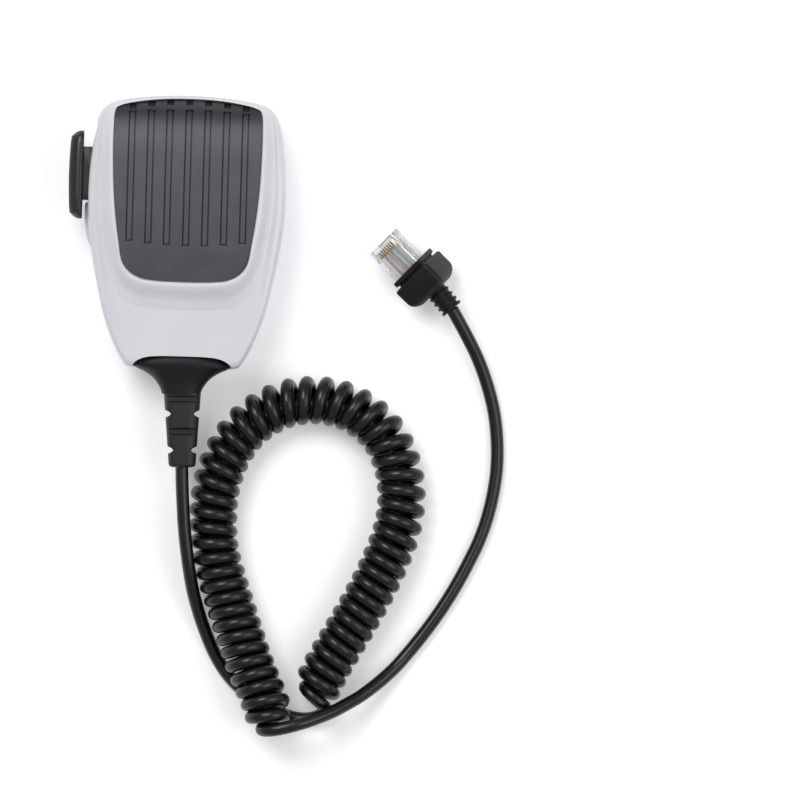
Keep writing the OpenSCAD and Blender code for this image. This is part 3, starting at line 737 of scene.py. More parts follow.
@dataclass
class Maker:
    """Turns forms into named pieces that ride on the frame's bodies."""

    finishes: Finishes
    bevel_angle: float = 40.0
    count: int = 0

    def piece(
        self, form: Form, name: str, slot: str, body: str = "housing", finish: str = "",
        tools: Sequence[tuple[Operation, Form]] = (), smooth: float = 32.0,
        bevel: float = 0.0, replaces: Sequence[str] = (),
    ) -> bpy.types.Object:
        """Ends a form as a piece.

        Args:
            form: the piece's form.
            name: the piece's name.
            slot: the record's material slot that it belongs to.
            body: the body that it moves with.
            finish: its finish, if that isn't the slot's own.
            tools: solids that are joined to it or cut from it, in order.
            smooth: the widest angle, in degrees, over which it is shaded smooth.
            bevel: radius of a live bevel on its sharp edges, in millimetres.
            replaces: frame nodes that it stands for.

        Returns:
            The piece.
        """
        obj = bpy.data.objects.new(name, form.mesh(name))
        bpy.context.scene.collection.objects.link(obj)
        for operation, tool in tools:
            self._combine(obj, operation, tool)
        for polygon in obj.data.polygons:
            polygon.use_smooth = True
        obj.data.set_sharp_from_angle(angle=math.radians(smooth))
        obj.data.materials.clear()
        obj.data.materials.append(self.finishes[finish or slot])
        if bevel:
            edge = obj.modifiers.new("edges", "BEVEL")
            edge.width = bevel * MM
            edge.segments = 2
            edge.limit_method = "ANGLE"
            edge.angle_limit = math.radians(self.bevel_angle)
            edge.use_clamp_overlap = True
            edge.harden_normals = False
        return self.settle(obj, body, replaces)

    def settle(
        self, obj: bpy.types.Object, body: str, replaces: Sequence[str]
    ) -> bpy.types.Object:
        """Ties an object to a body and the nodes that it stands for.

        Args:
            obj: the object.
            body: the body that it moves with.
            replaces: frame nodes that it stands for.

        Returns:
            The object.
        """
        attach(obj, body)
        if replaces:
            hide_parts(*replaces)
        self.count += 1
        LOG.info("made %s on %s", obj.name, body)
        return obj

    @staticmethod
    def _combine(obj: bpy.types.Object, operation: Operation, tool: Form) -> None:
        """Joins a tool solid to an object, or cuts the object with it."""
        other = bpy.data.objects.new("tool", tool.mesh("tool"))
        bpy.context.scene.collection.objects.link(other)
        change = obj.modifiers.new("tool", "BOOLEAN")
        change.operation = operation.value
        change.solver = "MANIFOLD"
        change.object = other
        baked(obj)
        bpy.data.objects.remove(other)


# ---------------------------------------------------------------- studio


@dataclass
class Studio:
    """Camera, lights and floor. Lengths are metres."""

    aim: Point = (0.0755, -0.0571)
    turn: float = 1.7
    height: float = 6.0
    view_width: float = 0.276
    view_level: float = 0.012
    sensor: float = 36.0
    far_clip: float = 20.0
    floor_half: float = 2.5
    room_colour: str = "#F6F7F9"
    room_strength: float = 0.5
    lamps: tuple[tuple[str, Place, float, float], ...] = (
        ("key_light", (-0.42, 0.55, 1.25), 0.8, 11.0),
        ("fill_light", (0.9, -0.1, 1.1), 1.1, 6.5),
    )

    def build(self) -> None:
        """Makes the whole studio."""
        self.camera()
        self.floor()
        self.lights()

    def camera(self) -> None:
        """Looks straight down from far off, with the microphone turned a little clockwise."""
        data = bpy.data.cameras.new("camera")
        data.sensor_width = self.sensor
        data.lens = self.sensor * (self.height - self.view_level) / self.view_width
        data.clip_end = self.far_clip
        camera = bpy.data.objects.new("camera", data)
        camera.location = (*self.aim, self.height)
        camera.rotation_euler = (0.0, 0.0, math.radians(self.turn))
        bpy.context.scene.collection.objects.link(camera)
        bpy.context.scene.camera = camera

    def floor(self) -> None:
        """Lays a plain pale floor."""
        form = Form()
        bmesh.ops.create_grid(
            form.bm, x_segments=2, y_segments=2, size=self.floor_half / MM
        )
        floor = bpy.data.objects.new("floor", form.mesh("floor"))
        paint = Finish(
            "matt_white_paint", "#F6F6F7", "#F4F4F5", 0.9, 400.0, 2.0, 0.0,
            specular=0.1, glow=0.22,
        )
        floor.data.materials.append(paint.build())
        bpy.context.scene.collection.objects.link(floor)

    def lights(self) -> None:
        """Hangs two broad lights and fills the room with white."""
        scene = bpy.context.scene
        scene.view_settings.view_transform = "Standard"
        world = bpy.data.worlds.new("room")
        world.use_nodes = True
        background = world.node_tree.nodes["Background"].inputs
        background["Color"].default_value = linear(self.room_colour)
        background["Strength"].default_value = self.room_strength
        scene.world = world
        for name, place, size, power in self.lamps:
            data = bpy.data.lights.new(name, "AREA")
            data.shape = "DISK"
            data.size = size
            data.energy = power
            light = bpy.data.objects.new(name, data)
            light.location = place
            aim = Vector((*self.aim, 0.0)) - Vector(place)
            light.rotation_euler = aim.to_track_quat("-Z", "Y").to_euler()
            scene.collection.objects.link(light)


# ---------------------------------------------------------------- cord


@dataclass
class Cord:
    """The cord, from the strain relief, round the coil, to the plug. Routes are in metres."""

    diameter: float = 0.0045
    coil_radius: float = 0.00625
    turn_gap: float = 0.00012
    lead_in: float = 0.1
    lead_out: float = 0.12
    points_a_turn: int = 20
    line_steps: int = 40
    bend_window: int = 40
    tail_steps: int = 6
    joint_reach: int = 16
    joint_passes: int = 24
    bevel_steps: int = 5
    mic_tail: tuple[Place, ...] = (
        (0.001, -0.0825, 0.015), (0.0013, -0.089, 0.015), (0.0018, -0.096, 0.0148),
        (0.0024, -0.103, 0.0144), (0.0033, -0.11, 0.0139), (0.0044, -0.117, 0.0124),
        (0.006, -0.125, 0.0094), (0.008, -0.1318, 0.0066), (0.0104, -0.1384, 0.0042),
        (0.0138, -0.146, 0.0026), (0.0178, -0.1524, 0.0023), (0.0226, -0.1576, 0.0023),
        (0.0282, -0.1618, 0.0023), (0.0344, -0.1652, 0.0023), (0.0404, -0.1675, 0.0023),
        (0.0456, -0.1682, 0.0027), (0.05, -0.1673, 0.0042), (0.0528, -0.1652, 0.007),
        (0.0533, -0.164, 0.0098),
    )
    coil: tuple[Place, ...] = (
        (0.0475, -0.161, 0.0086), (0.0495, -0.1575, 0.0086), (0.053, -0.15, 0.0086),
        (0.0585, -0.14, 0.0086), (0.064, -0.13, 0.0086), (0.069, -0.12, 0.0086),
        (0.073, -0.1105, 0.0086), (0.076, -0.101, 0.0086), (0.077, -0.092, 0.0086),
        (0.0763, -0.0835, 0.0086), (0.074, -0.076, 0.0086), (0.07, -0.069, 0.0086),
        (0.064, -0.0635, 0.0086), (0.057, -0.0598, 0.0086), (0.05, -0.0582, 0.0086),
        (0.043, -0.0582, 0.0086), (0.035, -0.06, 0.0086), (0.027, -0.0645, 0.0086),
        (0.0205, -0.071, 0.0086), (0.0155, -0.08, 0.0086), (0.0128, -0.09, 0.0086),
        (0.0122, -0.1, 0.0086), (0.013, -0.11, 0.0086), (0.0158, -0.12, 0.0087),
        (0.0193, -0.13, 0.0092), (0.0228, -0.14, 0.0102), (0.0265, -0.15, 0.0116),
        (0.031, -0.16, 0.013), (0.033, -0.1652, 0.0135), (0.0348, -0.1715, 0.0137),
    )
    plug_tail: tuple[Place, ...] = (
        (0.0354, -0.1722, 0.02),
        (0.0396, -0.1711, 0.0202), (0.044, -0.1698, 0.0198), (0.0483, -0.1683, 0.0184),
        (0.0525, -0.1666, 0.0164), (0.0565, -0.1647, 0.0142), (0.0605, -0.1624, 0.0118),
        (0.0647, -0.1598, 0.0092), (0.069, -0.1565, 0.0068), (0.073, -0.153, 0.0048),
        (0.077, -0.149, 0.0032), (0.081, -0.1442, 0.0024), (0.085, -0.139, 0.0023),
        (0.089, -0.1334, 0.0023), (0.093, -0.1272, 0.0023), (0.097, -0.1202, 0.0023),
        (0.101, -0.1122, 0.0023), (0.1042, -0.105, 0.0023), (0.1068, -0.097, 0.0023),
        (0.1086, -0.0885, 0.0023), (0.1096, -0.0795, 0.0023), (0.1094, -0.07, 0.0023),
        (0.108, -0.06, 0.0025), (0.1053, -0.0505, 0.0036), (0.102, -0.0422, 0.0056),
        (0.0988, -0.036, 0.0078), (0.0954, -0.03, 0.0096), (0.0926, -0.0253, 0.0105),
    )
    path: list[Vector] = field(default_factory=list)

    def helix(self) -> list[Vector]:
        """Winds the cord round the coil's middle line, closer where it bends.

        Returns:
            Points along the middle of the wound cord.
        """
        line = curve_through(self.coil, self.line_steps, closed=False)
        up = Vector((0.0, 0.0, 1.0))
        places, turns = [0.0], [0.0]
        for i in range(1, len(line)):
            step = (line[i] - line[i - 1]).length
            ahead = line[min(i + self.bend_window, len(line) - 1)] - line[i]
            behind = line[i] - line[max(i - self.bend_window, 0)]
            bend = 0.0
            if ahead.length and behind.length:
                bend = ahead.angle(behind) / ((ahead.length + behind.length) / 2)
            pitch = (self.diameter + self.turn_gap) / (1 - bend * self.coil_radius)
            places.append(places[-1] + step)
            turns.append(turns[-1] + step / pitch)
        last = round(turns[-1] - self.lead_out) + self.lead_out
        stretch = last / turns[-1]
        wound = []
        index = 0
        total = int((last - self.lead_in) * self.points_a_turn)
        for k in range(total + 1):
            turn = self.lead_in + (last - self.lead_in) * k / total
            while index < len(turns) - 2 and turns[index + 1] * stretch < turn:
                index += 1
            span = (turns[index + 1] - turns[index]) * stretch
            share = (turn - turns[index] * stretch) / span
            middle = line[index].lerp(line[index + 1], share)
            along = (line[min(index + 2, len(line) - 1)] - line[max(index - 1, 0)]).normalized()
            side = along.cross(up).normalized()
            rise = side.cross(along)
            angle = 2 * math.pi * turn
            wound.append(
                middle + self.coil_radius * (math.cos(angle) * side + math.sin(angle) * rise)
            )
        return wound

    def ease(self, joint: int) -> None:
        """Eases a joint between two stretches of the path, by moving points to their neighbours.

        Args:
            joint: the joint's place in the path.
        """
        path, reach = self.path, self.joint_reach
        low, high = max(joint - reach, 1), min(joint + reach, len(path) - 2)
        for _ in range(self.joint_passes):
            for i in range(low, high + 1):
                pull = 0.5 * (1 - ((i - joint) / (reach + 1)) ** 2)
                path[i] = path[i].lerp((path[i - 1] + path[i + 1]) / 2, pull)

    def build(self, maker: Maker) -> bpy.types.Object:
        """Lays the cord.

        Args:
            maker: settles the piece.

        Returns:
            The piece.
        """
        helix = self.helix()
        into = (*self.mic_tail, tuple(helix[0]), tuple(helix[2]))
        out = (tuple(helix[-3]), tuple(helix[-1]), *self.plug_tail)
        shared = self.tail_steps + 1
        start = curve_through(into, self.tail_steps, closed=False)[:-shared]
        end = curve_through(out, self.tail_steps, closed=False)[shared:]
        self.path = start + helix + end
        self.ease(len(start))
        self.ease(len(start) + len(helix))
        data = bpy.data.curves.new("cord", "CURVE")
        data.dimensions = "3D"
        data.bevel_depth = self.diameter / 2
        data.bevel_resolution = self.bevel_steps
        data.use_fill_caps = True
        spline = data.splines.new("POLY")
        spline.points.add(len(self.path) - 1)
        for point, place in zip(spline.points, self.path):
            point.co = (*place, 1.0)
        data.materials.append(maker.finishes["cord_jacket"])
        cord = bpy.data.objects.new("cord", data)
        bpy.context.scene.collection.objects.link(cord)
        nodes = ("mic_tail", "curly_cord", "plug_tail")
        return maker.settle(cord, "housing", nodes)

    def length(self) -> float:
        """The length along the path."""
        return sum((b - a).length for a, b in zip(self.path, self.path[1:]))


# ---------------------------------------------------------------- housing


@dataclass
class HousingShape:
    """The outlines and heights that the shells, the grille and their cuts share."""

    parting: float = 17.0
    back: float = 5.2
    wall: float = 2.2
    panel_drop: float = 0.9
    steps: int = 6
    housing_half: tuple[Point, ...] = (
        (0, 45.6), (11, 45.2), (21.5, 43.9), (27.6, 42), (31, 37.8), (32.8, 29.5), (34, 17),
        (34, 5), (32.8, -6), (30.4, -19), (27.6, -30.5), (24, -40), (20.8, -46), (18.6, -48),
        (12, -48.3), (0, -48.3),
    )
    panel_half: tuple[Point, ...] = (
        (0, 44.3), (9, 44), (17, 43), (23, 41.6), (25.2, 39.6), (25.6, 33), (25.5, 24),
        (25.1, 14), (24.2, 4), (22.9, -5), (21.6, -12), (18.8, -15.9), (15, -17.9),
        (11.5, -18.5), (7, -18.8), (0, -18.9),
    )
    lip: Profile = Profile((
        (-22, 30.4), (-10, 32.6), (4, 33.9), (18, 34.27), (28, 34.0), (35, 32.6), (40, 29.8),
        (43.5, 26.0), (45.6, 22.5),
    ))
    shoulder: Profile = Profile((
        (-48.3, 23.6), (-35, 25.2), (-20, 26.6), (0, 28.0), (20, 28.4), (32, 27.4), (40, 24.6),
        (45.6, 20.2),
    ))
    boot_sections: tuple[Place, ...] = (
        (-44.5, 12.2, 8.4), (-45.2, 14.4, 8.9), (-46.2, 16, 9.1), (-47.4, 16.8, 9),
        (-48.4, 15.9, 8.7), (-49.8, 12.9, 8.1), (-51.6, 10.2, 7.4), (-53.6, 8.4, 6.8),
        (-55.6, 7.2, 6.4), (-57.4, 6.6, 6.1),
    )
    boot_z: float = 15.0
    boot_power: float = 0.72
    boot_segments: int = 64
    boot_overrun: float = 0.4

    def __post_init__(self) -> None:
        """Draws both outlines, point for point, so that rings can run between them."""
        self.edge = curve_through(mirrored(self.housing_half), self.steps, closed=True)
        self.panel = curve_through(mirrored(self.panel_half), self.steps, closed=True)

    def from_edge(self, distance: float, share: float) -> list[Vector]:
        """Places a distance in from the housing's outline, at most a share of the way."""
        return [
            e + (p - e).normalized() * min(distance, share * (p - e).length)
            for e, p in zip(self.edge, self.panel)
        ]

    def from_panel(self, distance: float, share: float) -> list[Vector]:
        """Places a distance out from the panel's outline, at most a share of the way."""
        return [
            p + (e - p).normalized() * min(distance, share * (p - e).length)
            for e, p in zip(self.edge, self.panel)
        ]

    def inset(self, distance: float) -> list[Vector]:
        """Places a distance in from the housing's outline."""
        return self.from_edge(distance, 1.0)

    def inner(self, distance: float) -> list[Vector]:
        """Places a distance in from the panel's outline."""
        return [p + (p - e).normalized() * distance for e, p in zip(self.edge, self.panel)]

    def up_side(self, ring: Sequence[Vector], share: float) -> list[Vector]:
        """Raises a ring to a share of the shoulder's height over the parting line."""
        return [
            Vector((p.x, p.y, self.parting + (self.shoulder(e.y) - self.parting) * share))
            for p, e in zip(ring, self.edge)
        ]

    def up_island(self, ring: Sequence[Vector], share: float, drop: float = 0) -> list[Vector]:
        """Raises a ring to a share of the way from the shoulder to the lip, less a drop."""
        return [
            Vector((
                r.x, r.y,
                self.shoulder(e.y) + (self.lip(p.y) - self.shoulder(e.y)) * share - drop,
            ))
            for r, e, p in zip(ring, self.edge, self.panel)
        ]

    @staticmethod
    def level(ring: Sequence[Vector], height: float) -> list[Vector]:
        """Lays a ring flat at a height."""
        return [Vector((p.x, p.y, height)) for p in ring]

    @staticmethod
    def rounded(rings: Sequence[Sequence[Vector]], steps: int) -> list[tuple[Vector, ...]]:
        """Rounds the skin through rings by adding rings between them.

        Args:
            rings: rings of equal length.
            steps: rings for each span between two given ones.

        Returns:
            All the rings.
        """
        return list(zip(*[curve_through(line, steps, closed=False) for line in zip(*rings)]))

    def boot_rings(self, grow: float = 0.0) -> list[list[Place]]:
        """Rounded sections of the cord boot, from its outer end to its inner one.

        Args:
            grow: extra width and depth.

        Returns:
            The sections.
        """
        rings = []
        for y, wide, deep in curve_through(self.boot_sections, 3, closed=False):
            place = y + (grow + self.boot_overrun if not rings and grow else 0)
            ring = []
            for k in range(self.boot_segments):
                angle = 2 * math.pi * k / self.boot_segments
                x, z = on_oval(wide + grow, deep + grow, self.boot_power, angle)
                ring.append((x, place, self.boot_z + z))
            rings.append(ring)
        return rings


@dataclass
class Housing:
    """The two moulded shells that clamp the boot and carry the grille and the talk lever."""

    shape: HousingShape
    seat_depth: float = 2.4
    seat_width: float = 1.3
    rim_step: float = 1.15
    joint_groove: float = 0.22
    wall_turn: float = 3.0
    boot_room: float = 0.15
    edge_bevel: float = 0.22
    screw_at: tuple[Point, ...] = ((22.5, 32), (-22.5, 32), (13.5, -37), (-13.5, -37))
    head_hole: float = 2.8
    shank_hole: float = 1.5
    hole_foot: float = 4.0
    recess: tuple[Point, ...] = (
        (-45, 7.9), (-33.1, 7.9), (-32.7, 18), (-31.9, 28), (-31.3, 35), (-31.6, 37.5),
        (-45, 37.5),
    )
    mouth_half: tuple[Point, ...] = (
        (0, -44.3), (7, -44.35), (11, -44.6), (13.2, -45.05), (15, -45.8), (16.3, -46.7),
        (17, -47.6), (17.2, -52), (0, -52),
    )
    heel: tuple[Point, ...] = (
        (-32, 8), (-34.7, 7.8), (-35.1, 5), (-34.9, 1), (-34.4, -3), (-33.4, -6), (-31.7, -8),
    )

    def build(self, maker: Maker) -> None:
        """Makes both shells.

        Args:
            maker: makes the pieces.
        """
        self.front(maker)
        self.back(maker)

    def cuts(self) -> list[tuple[Operation, Form]]:
        """The cuts that both shells share: the neck's slot, the lever's recess and the boot."""
        recess = [Vector((*p, 0.0)) for p in self.recess]
        flat = HousingShape.level
        return [
            (Operation.CUT, Form().block((-45, 7.9, 12.2), (-28.5, 27.7, 22.8), 0.5)),
            (Operation.CUT, Form().loft([flat(recess, 9.5), flat(recess, 25.5)])),
            (Operation.CUT, Form().loft(self.shape.boot_rings(self.boot_room))),
        ]

    def front(self, maker: Maker) -> None:
        """Makes the front shell, with its raised lip round the panel.

        Args:
            maker: makes the piece.
        """
        s = self.shape
        groove = self.joint_groove
        skin = s.rounded([
            s.level(s.edge, s.parting + groove),
            s.up_side(s.edge, 0.45),
            s.up_side(s.from_edge(0.5, 0.1), 0.78),
            s.up_side(s.from_edge(1.7, 0.22), 0.94),
            s.up_side(s.from_edge(3.6, 0.38), 1),
            s.up_island(s.from_panel(10.2, 0.56), 0.27),
            s.up_island(s.from_panel(9.3, 0.51), 0.3),
            s.up_island(s.from_panel(8, 0.45), 0.37),
            s.up_island(s.from_panel(5.5, 0.34), 0.53),
            s.up_island(s.from_panel(3, 0.22), 0.84),
            s.up_island(s.from_panel(1.6, 0.13), 0.98),
            s.up_island(s.from_panel(0.6, 0.05), 1),
            s.up_island(s.from_panel(0.05, 0.01), 1, 0.55),
        ], 3)
        bottom = s.up_island(s.from_edge(s.wall + self.wall_turn, 0.3), 0)
        rings = [
            s.level(s.inset(groove), s.parting),
            *skin,
            s.up_island(s.panel, 1, self.seat_depth),
            s.up_island(s.inner(self.seat_width), 1, self.seat_depth),
            s.up_island(s.inner(self.seat_width), 1, self.seat_depth + 1.6),
            [Vector((p.x, p.y, max(p.z - s.wall, s.parting + 0.6))) for p in bottom],
            s.level(s.inset(s.wall), s.parting),
        ]
        mouth = [Vector((*p, 0.0)) for p in mirrored(self.mouth_half)]
        opening = Form().loft([s.level(mouth, 15.5), s.level(mouth, 45.0)])
        maker.piece(
            Form().loft(rings, caps=False), "housing_front", "housing_plastic",
            tools=[*self.cuts(), (Operation.CUT, opening)], bevel=self.edge_bevel,
            replaces=("front_shell",),
        )

    def holes(self, top: float, radius: float) -> tuple[Operation, Form]:
        """Cuts a hole for each case screw, from below the back up to a height."""
        posts = Form()
        for place in self.screw_at:
            posts.post(place, self.hole_foot, top, radius)
        return Operation.CUT, posts

    def back(self, maker: Maker) -> None:
        """Makes the back shell, with its heel and its sunk screw holes.

        Args:
            maker: makes the piece.
        """
        s = self.shape
        skin = s.rounded([
            s.level(s.inset(5), s.back),
            s.level(s.inset(2.8), s.back + 0.9),
            s.level(s.inset(1.2), s.back + 2.4),
            s.level(s.inset(0.15), s.back + 5.8),
            s.level(s.edge, s.parting - self.joint_groove),
        ], 3)
        rings = [
            *skin,
            s.level(s.inset(self.joint_groove), s.parting),
            s.level(s.inset(self.rim_step), s.parting),
            s.level(s.inset(self.rim_step), s.parting - 0.8),
            s.level(s.inset(s.wall), s.parting - 0.8),
            s.level(s.inset(s.wall + 0.4), s.back + 5.8),
            s.level(s.inset(s.wall + 1.8), s.back + 3.2),
            s.level(s.inset(s.wall + 5), s.back + s.wall),
        ]
        outline = curve_through(self.heel, 3, closed=True)
        heel = [
            [Vector((-31.5 + (p.x + 31.5) * k, p.y * k, z)) for p in outline]
            for k, z in ((0.72, 10.3), (0.92, 10.8), (1.0, 11.8), (1.0, 16.3), (0.97, 16.8))
        ]
        tools = [
            (Operation.JOIN, Form().loft(heel)), *self.cuts(),
            self.holes(s.back + 3.8, self.head_hole), self.holes(18.0, self.shank_hole),
        ]
        maker.piece(
            Form().loft(rings), "housing_back", "housing_plastic", tools=tools,
            bevel=self.edge_bevel, replaces=("rear_shell",),
        )


# ---------------------------------------------------------------- grille


@dataclass
class GrillePanel:
    """The dark panel over the microphone, grooved along its length."""

    shape: HousingShape
    thickness: float = 1.5
    edge_gap: float = 0.3
    crease_y: float = -7.6
    crease_drop: float = 0.05
    groove_at: tuple[float, ...] = (-19.3, -12.8, -6.4, 0.2, 6.7, 13.2, 19.7)
    groove_width: float = 2.6
    floor_depth: float = 0.45
    slit_width: float = 0.56
    slit_depth: float = 1.3
    notch_width: float = 2.4
    notch_depth: float = 1.25
    outer_groove: float = 19.5
    bar_step: float = 1.5
    bar_over: float = 1.5
    sheet_middle: float = 12.75
    sheet_half: Point = (27.0, 32.6)

    def height(self, y: float) -> float:
        """Height of the panel's front face.

        Args:
            y: place along the housing.

        Returns:
            Its height, which falls off below the crease.
        """
        drop = self.crease_drop * max(self.crease_y - y, 0.0)
        return self.shape.lip(y) - self.shape.panel_drop - drop

    def strip(
        self, form: Form, x: float, width: float, low: float, high: float, depth: float
    ) -> None:
        """Adds a bar that follows the panel's face and reaches a depth into it.

        Args:
            form: takes the bar.
            x: middle of the bar.
            width: its width.
            low: its lower end.
            high: its upper end.
            depth: its depth below the face.
        """
        count = max(int((high - low) / self.bar_step), 1)
        rings = []
        for k in range(count + 1):
            y = low + (high - low) * k / count
            above, below = self.height(y) + self.bar_over, self.height(y) - depth
            left, right = x - width / 2, x + width / 2
            rings.append([(left, y, above), (right, y, above), (right, y, below), (left, y, below)])
        form.loft(rings)

    def sheet(self) -> Form:
        """Makes the curved sheet that the panel is cut from.

        Returns:
            A closed sheet, larger than the panel.
        """
        form = Form()
        bmesh.ops.create_grid(form.bm, x_segments=40, y_segments=96, size=1.0)
        for vert in form.bm.verts:
            y = self.sheet_middle + vert.co.y * self.sheet_half[1]
            vert.co = (vert.co.x * self.sheet_half[0], y, self.height(y))
        grown = bmesh.ops.extrude_face_region(form.bm, geom=form.bm.faces[:])["geom"]
        lower = [g for g in grown if isinstance(g, bmesh.types.BMVert)]
        bmesh.ops.translate(form.bm, vec=(0, 0, -self.thickness), verts=lower)
        return form

    def build(self, maker: Maker) -> None:
        """Cuts the panel out and carves its grooves.

        Args:
            maker: makes the piece.
        """
        s = self.shape
        outline = s.inner(self.edge_gap)
        prism = Form().loft([s.level(outline, 15.0), s.level(outline, 40.0)])
        floors, slits, ends, notches = Form(), Form(), Form(), Form()
        side = (self.groove_width - self.slit_width) / 2
        for x in self.groove_at:
            bow = (x / self.outer_groove) ** 2
            low, high = -6.3 + 1.2 * bow, 40.6 - 0.9 * bow
            self.strip(floors, x, self.groove_width, low, high, self.floor_depth)
            for middle in (x - side, x + side):
                self.strip(slits, middle, self.slit_width, low, high, self.slit_depth)
            self.strip(ends, x, self.groove_width + 0.1, low - 0.1, low + 0.45, self.slit_depth)
            top = 44.1 - 1.7 * bow
            self.strip(notches, x, self.notch_width, top - 2.0, top - 0.2, self.notch_depth)
        maker.piece(
            self.sheet(), "grille_front", "grille_plastic",
            tools=[
                (Operation.KEEP, prism), (Operation.CUT, floors), (Operation.CUT, slits),
                (Operation.CUT, ends), (Operation.CUT, notches),
            ],
            bevel=0.12, smooth=28.0, replaces=("grille_panel",),
        )


# ---------------------------------------------------------------- talk lever


@dataclass
class TalkLever:
    """The talk lever: a long finger pad on a neck that turns on a pin."""

    middle_y: float = 17.3
    level: float = 17.5
    inner_x: float = -36.0
    pivot: Point = (-29.0, 11.0)
    bore: float = 1.05
    nose_middle: Point = (-24.05, 20.0)
    nose_span: Point = (12.6, 15.4)
    nose_radius: float = 1.3
    stations: tuple[Place, ...] = (
        (15.1, -37.6, 4.8), (14.5, -38.8, 5.6), (13.2, -40.2, 6.2), (11.0, -40.5, 6.45),
        (6.0, -40.75, 6.5),
    )
    neck_low: Place = (-37.0, 8.6, 12.6)
    neck_high: Place = (-26.9, 27.0, 22.4)

    def section(self, along: float, outer: float, deep: float) -> list[Place]:
        """A section across the pad.

        Args:
            along: place along the pad, from its middle.
            outer: the x of its outer face.
            deep: half of its depth.

        Returns:
            Its corners.
        """
        y = self.middle_y + along
        inner = self.inner_x
        ridge = max(outer + 2.7, inner - 2.0) if outer < inner - 2.6 else (inner + outer) / 2
        half = [
            (inner, deep - 0.5), (inner - 0.4, deep - 0.1), (inner - 0.8, deep),
            (ridge, deep), (ridge - 0.35, deep - 0.12),
            (outer + 0.5, deep - 1.7), (outer + 0.12, deep - 2.2), (outer, deep - 2.9),
        ]
        upper = [(x, y, self.level + z) for x, z in half]
        lower = [(x, y, self.level - z) for x, z in reversed(half)]
        return upper + lower

    def build(self, maker: Maker) -> None:
        """Makes the lever with its nose and its bore.

        Args:
            maker: makes the piece.
        """
        ends = [self.section(-a, x, d) for a, x, d in self.stations]
        middle = [self.section(0.0, -40.85, 6.5)]
        others = [self.section(a, x, d) for a, x, d in reversed(self.stations)]
        pad = Form().loft(ends + middle + others)
        neck = Form().block(self.neck_low, self.neck_high, 0.45)
        low, high = self.nose_span
        nose = Form().block((-27.6, 18.6, low), (-24.5, 21.4, high), 0.3)
        tip = Form().post(self.nose_middle, low, high, self.nose_radius, segments=32)
        bore = Form().post(self.pivot, 5.0, 30.0, self.bore, segments=32)
        maker.piece(
            pad, "talk_lever", "lever_plastic", "talk_lever",
            tools=[
                (Operation.JOIN, neck), (Operation.JOIN, nose), (Operation.JOIN, tip),
                (Operation.CUT, bore),
            ],
            bevel=0.25, smooth=35.0, replaces=("ptt_lever",),
        )


# ---------------------------------------------------------------- cord entry


@dataclass
class CordEntry:
    """The rubber boot in the housing's end, and the notched strain relief that it holds."""

    shape: HousingShape
    lean: float = 1.4
    lean_y: float = -39.0
    top: float = -57.0
    end: float = -82.5
    side_notches: tuple[float, ...] = (-64.1, -76.6)
    face_notches: tuple[float, ...] = (-59.0, -70.2)
    notch_depth: float = 1.9
    notch_half: float = 1.25
    section_step: float = 0.25
    segments: int = 72
    power: float = 0.62
    first: Point = (6.4, 5.9)
    last: Point = (4.6, 4.3)
    end_rounding: Point = (1.1, 1.15)

    def leaned(self) -> Matrix:
        """The turn of everything along the cord."""
        middle = Vector((0.0, self.lean_y, 0.0))
        turn = Matrix.Rotation(math.radians(self.lean), 4, "Z")
        return Matrix.Translation(middle) @ turn @ Matrix.Translation(-middle)

    def notch(self, y: float, places: Sequence[float], flat: bool) -> float:
        """How deep the notches are at a place.

        Args:
            y: place along the relief.
            places: middles of the notches.
            flat: whether the notch has a flat floor, or comes to a point.

        Returns:
            Its depth there.
        """
        away = min(abs(y - place) for place in places) / self.notch_half
        if away >= 1:
            return 0.0
        return self.notch_depth * (min(1.0, 3 * (1 - away)) * 0.75 if flat else 1 - away ** 2)

    def relief_rings(self) -> list[list[Place]]:
        """Sections of the strain relief.

        Returns:
            Sections from the boot to the cord.
        """
        rings = []
        for station in range(int((self.top - self.end) / self.section_step) + 1):
            y = self.top - self.section_step * station
            share = (y - self.top) / (self.end - self.top)
            close = min(1.0, (y - self.end) / self.end_rounding[0])
            shrink = self.end_rounding[1] * (1 - math.sqrt(max(1 - (1 - close) ** 2, 0.0)))
            wide, deep = (
                a + (b - a) * share - shrink for a, b in zip(self.first, self.last)
            )
            side = wide - self.notch(y, self.side_notches, flat=False)
            face = deep - self.notch(y, self.face_notches, flat=True)
            ring = []
            for k in range(self.segments):
                angle = 2 * math.pi * (k + 0.5) / self.segments
                x, z = on_oval(wide, deep, self.power, angle)
                if abs(x) > side:
                    x = math.copysign(side, x)
                if abs(z) > face and abs(x) < wide - 1.1:
                    z = math.copysign(face, z)
                ring.append((x, y, self.shape.boot_z + z))
            rings.append(ring)
        return rings

    def build(self, maker: Maker) -> None:
        """Makes the boot and the strain relief.

        Args:
            maker: makes the pieces.
        """
        maker.piece(
            Form().loft(self.shape.boot_rings()), "housing_boot", "boot_rubber",
            smooth=50.0, replaces=("cord_boot",),
        )
        relief = Form().loft(self.relief_rings()).move(self.leaned())
        maker.piece(
            relief, "cord_relief", "boot_rubber", finish="relief_pvc", smooth=40.0,
            replaces=("strain_relief",),
        )


# ---------------------------------------------------------------- plug


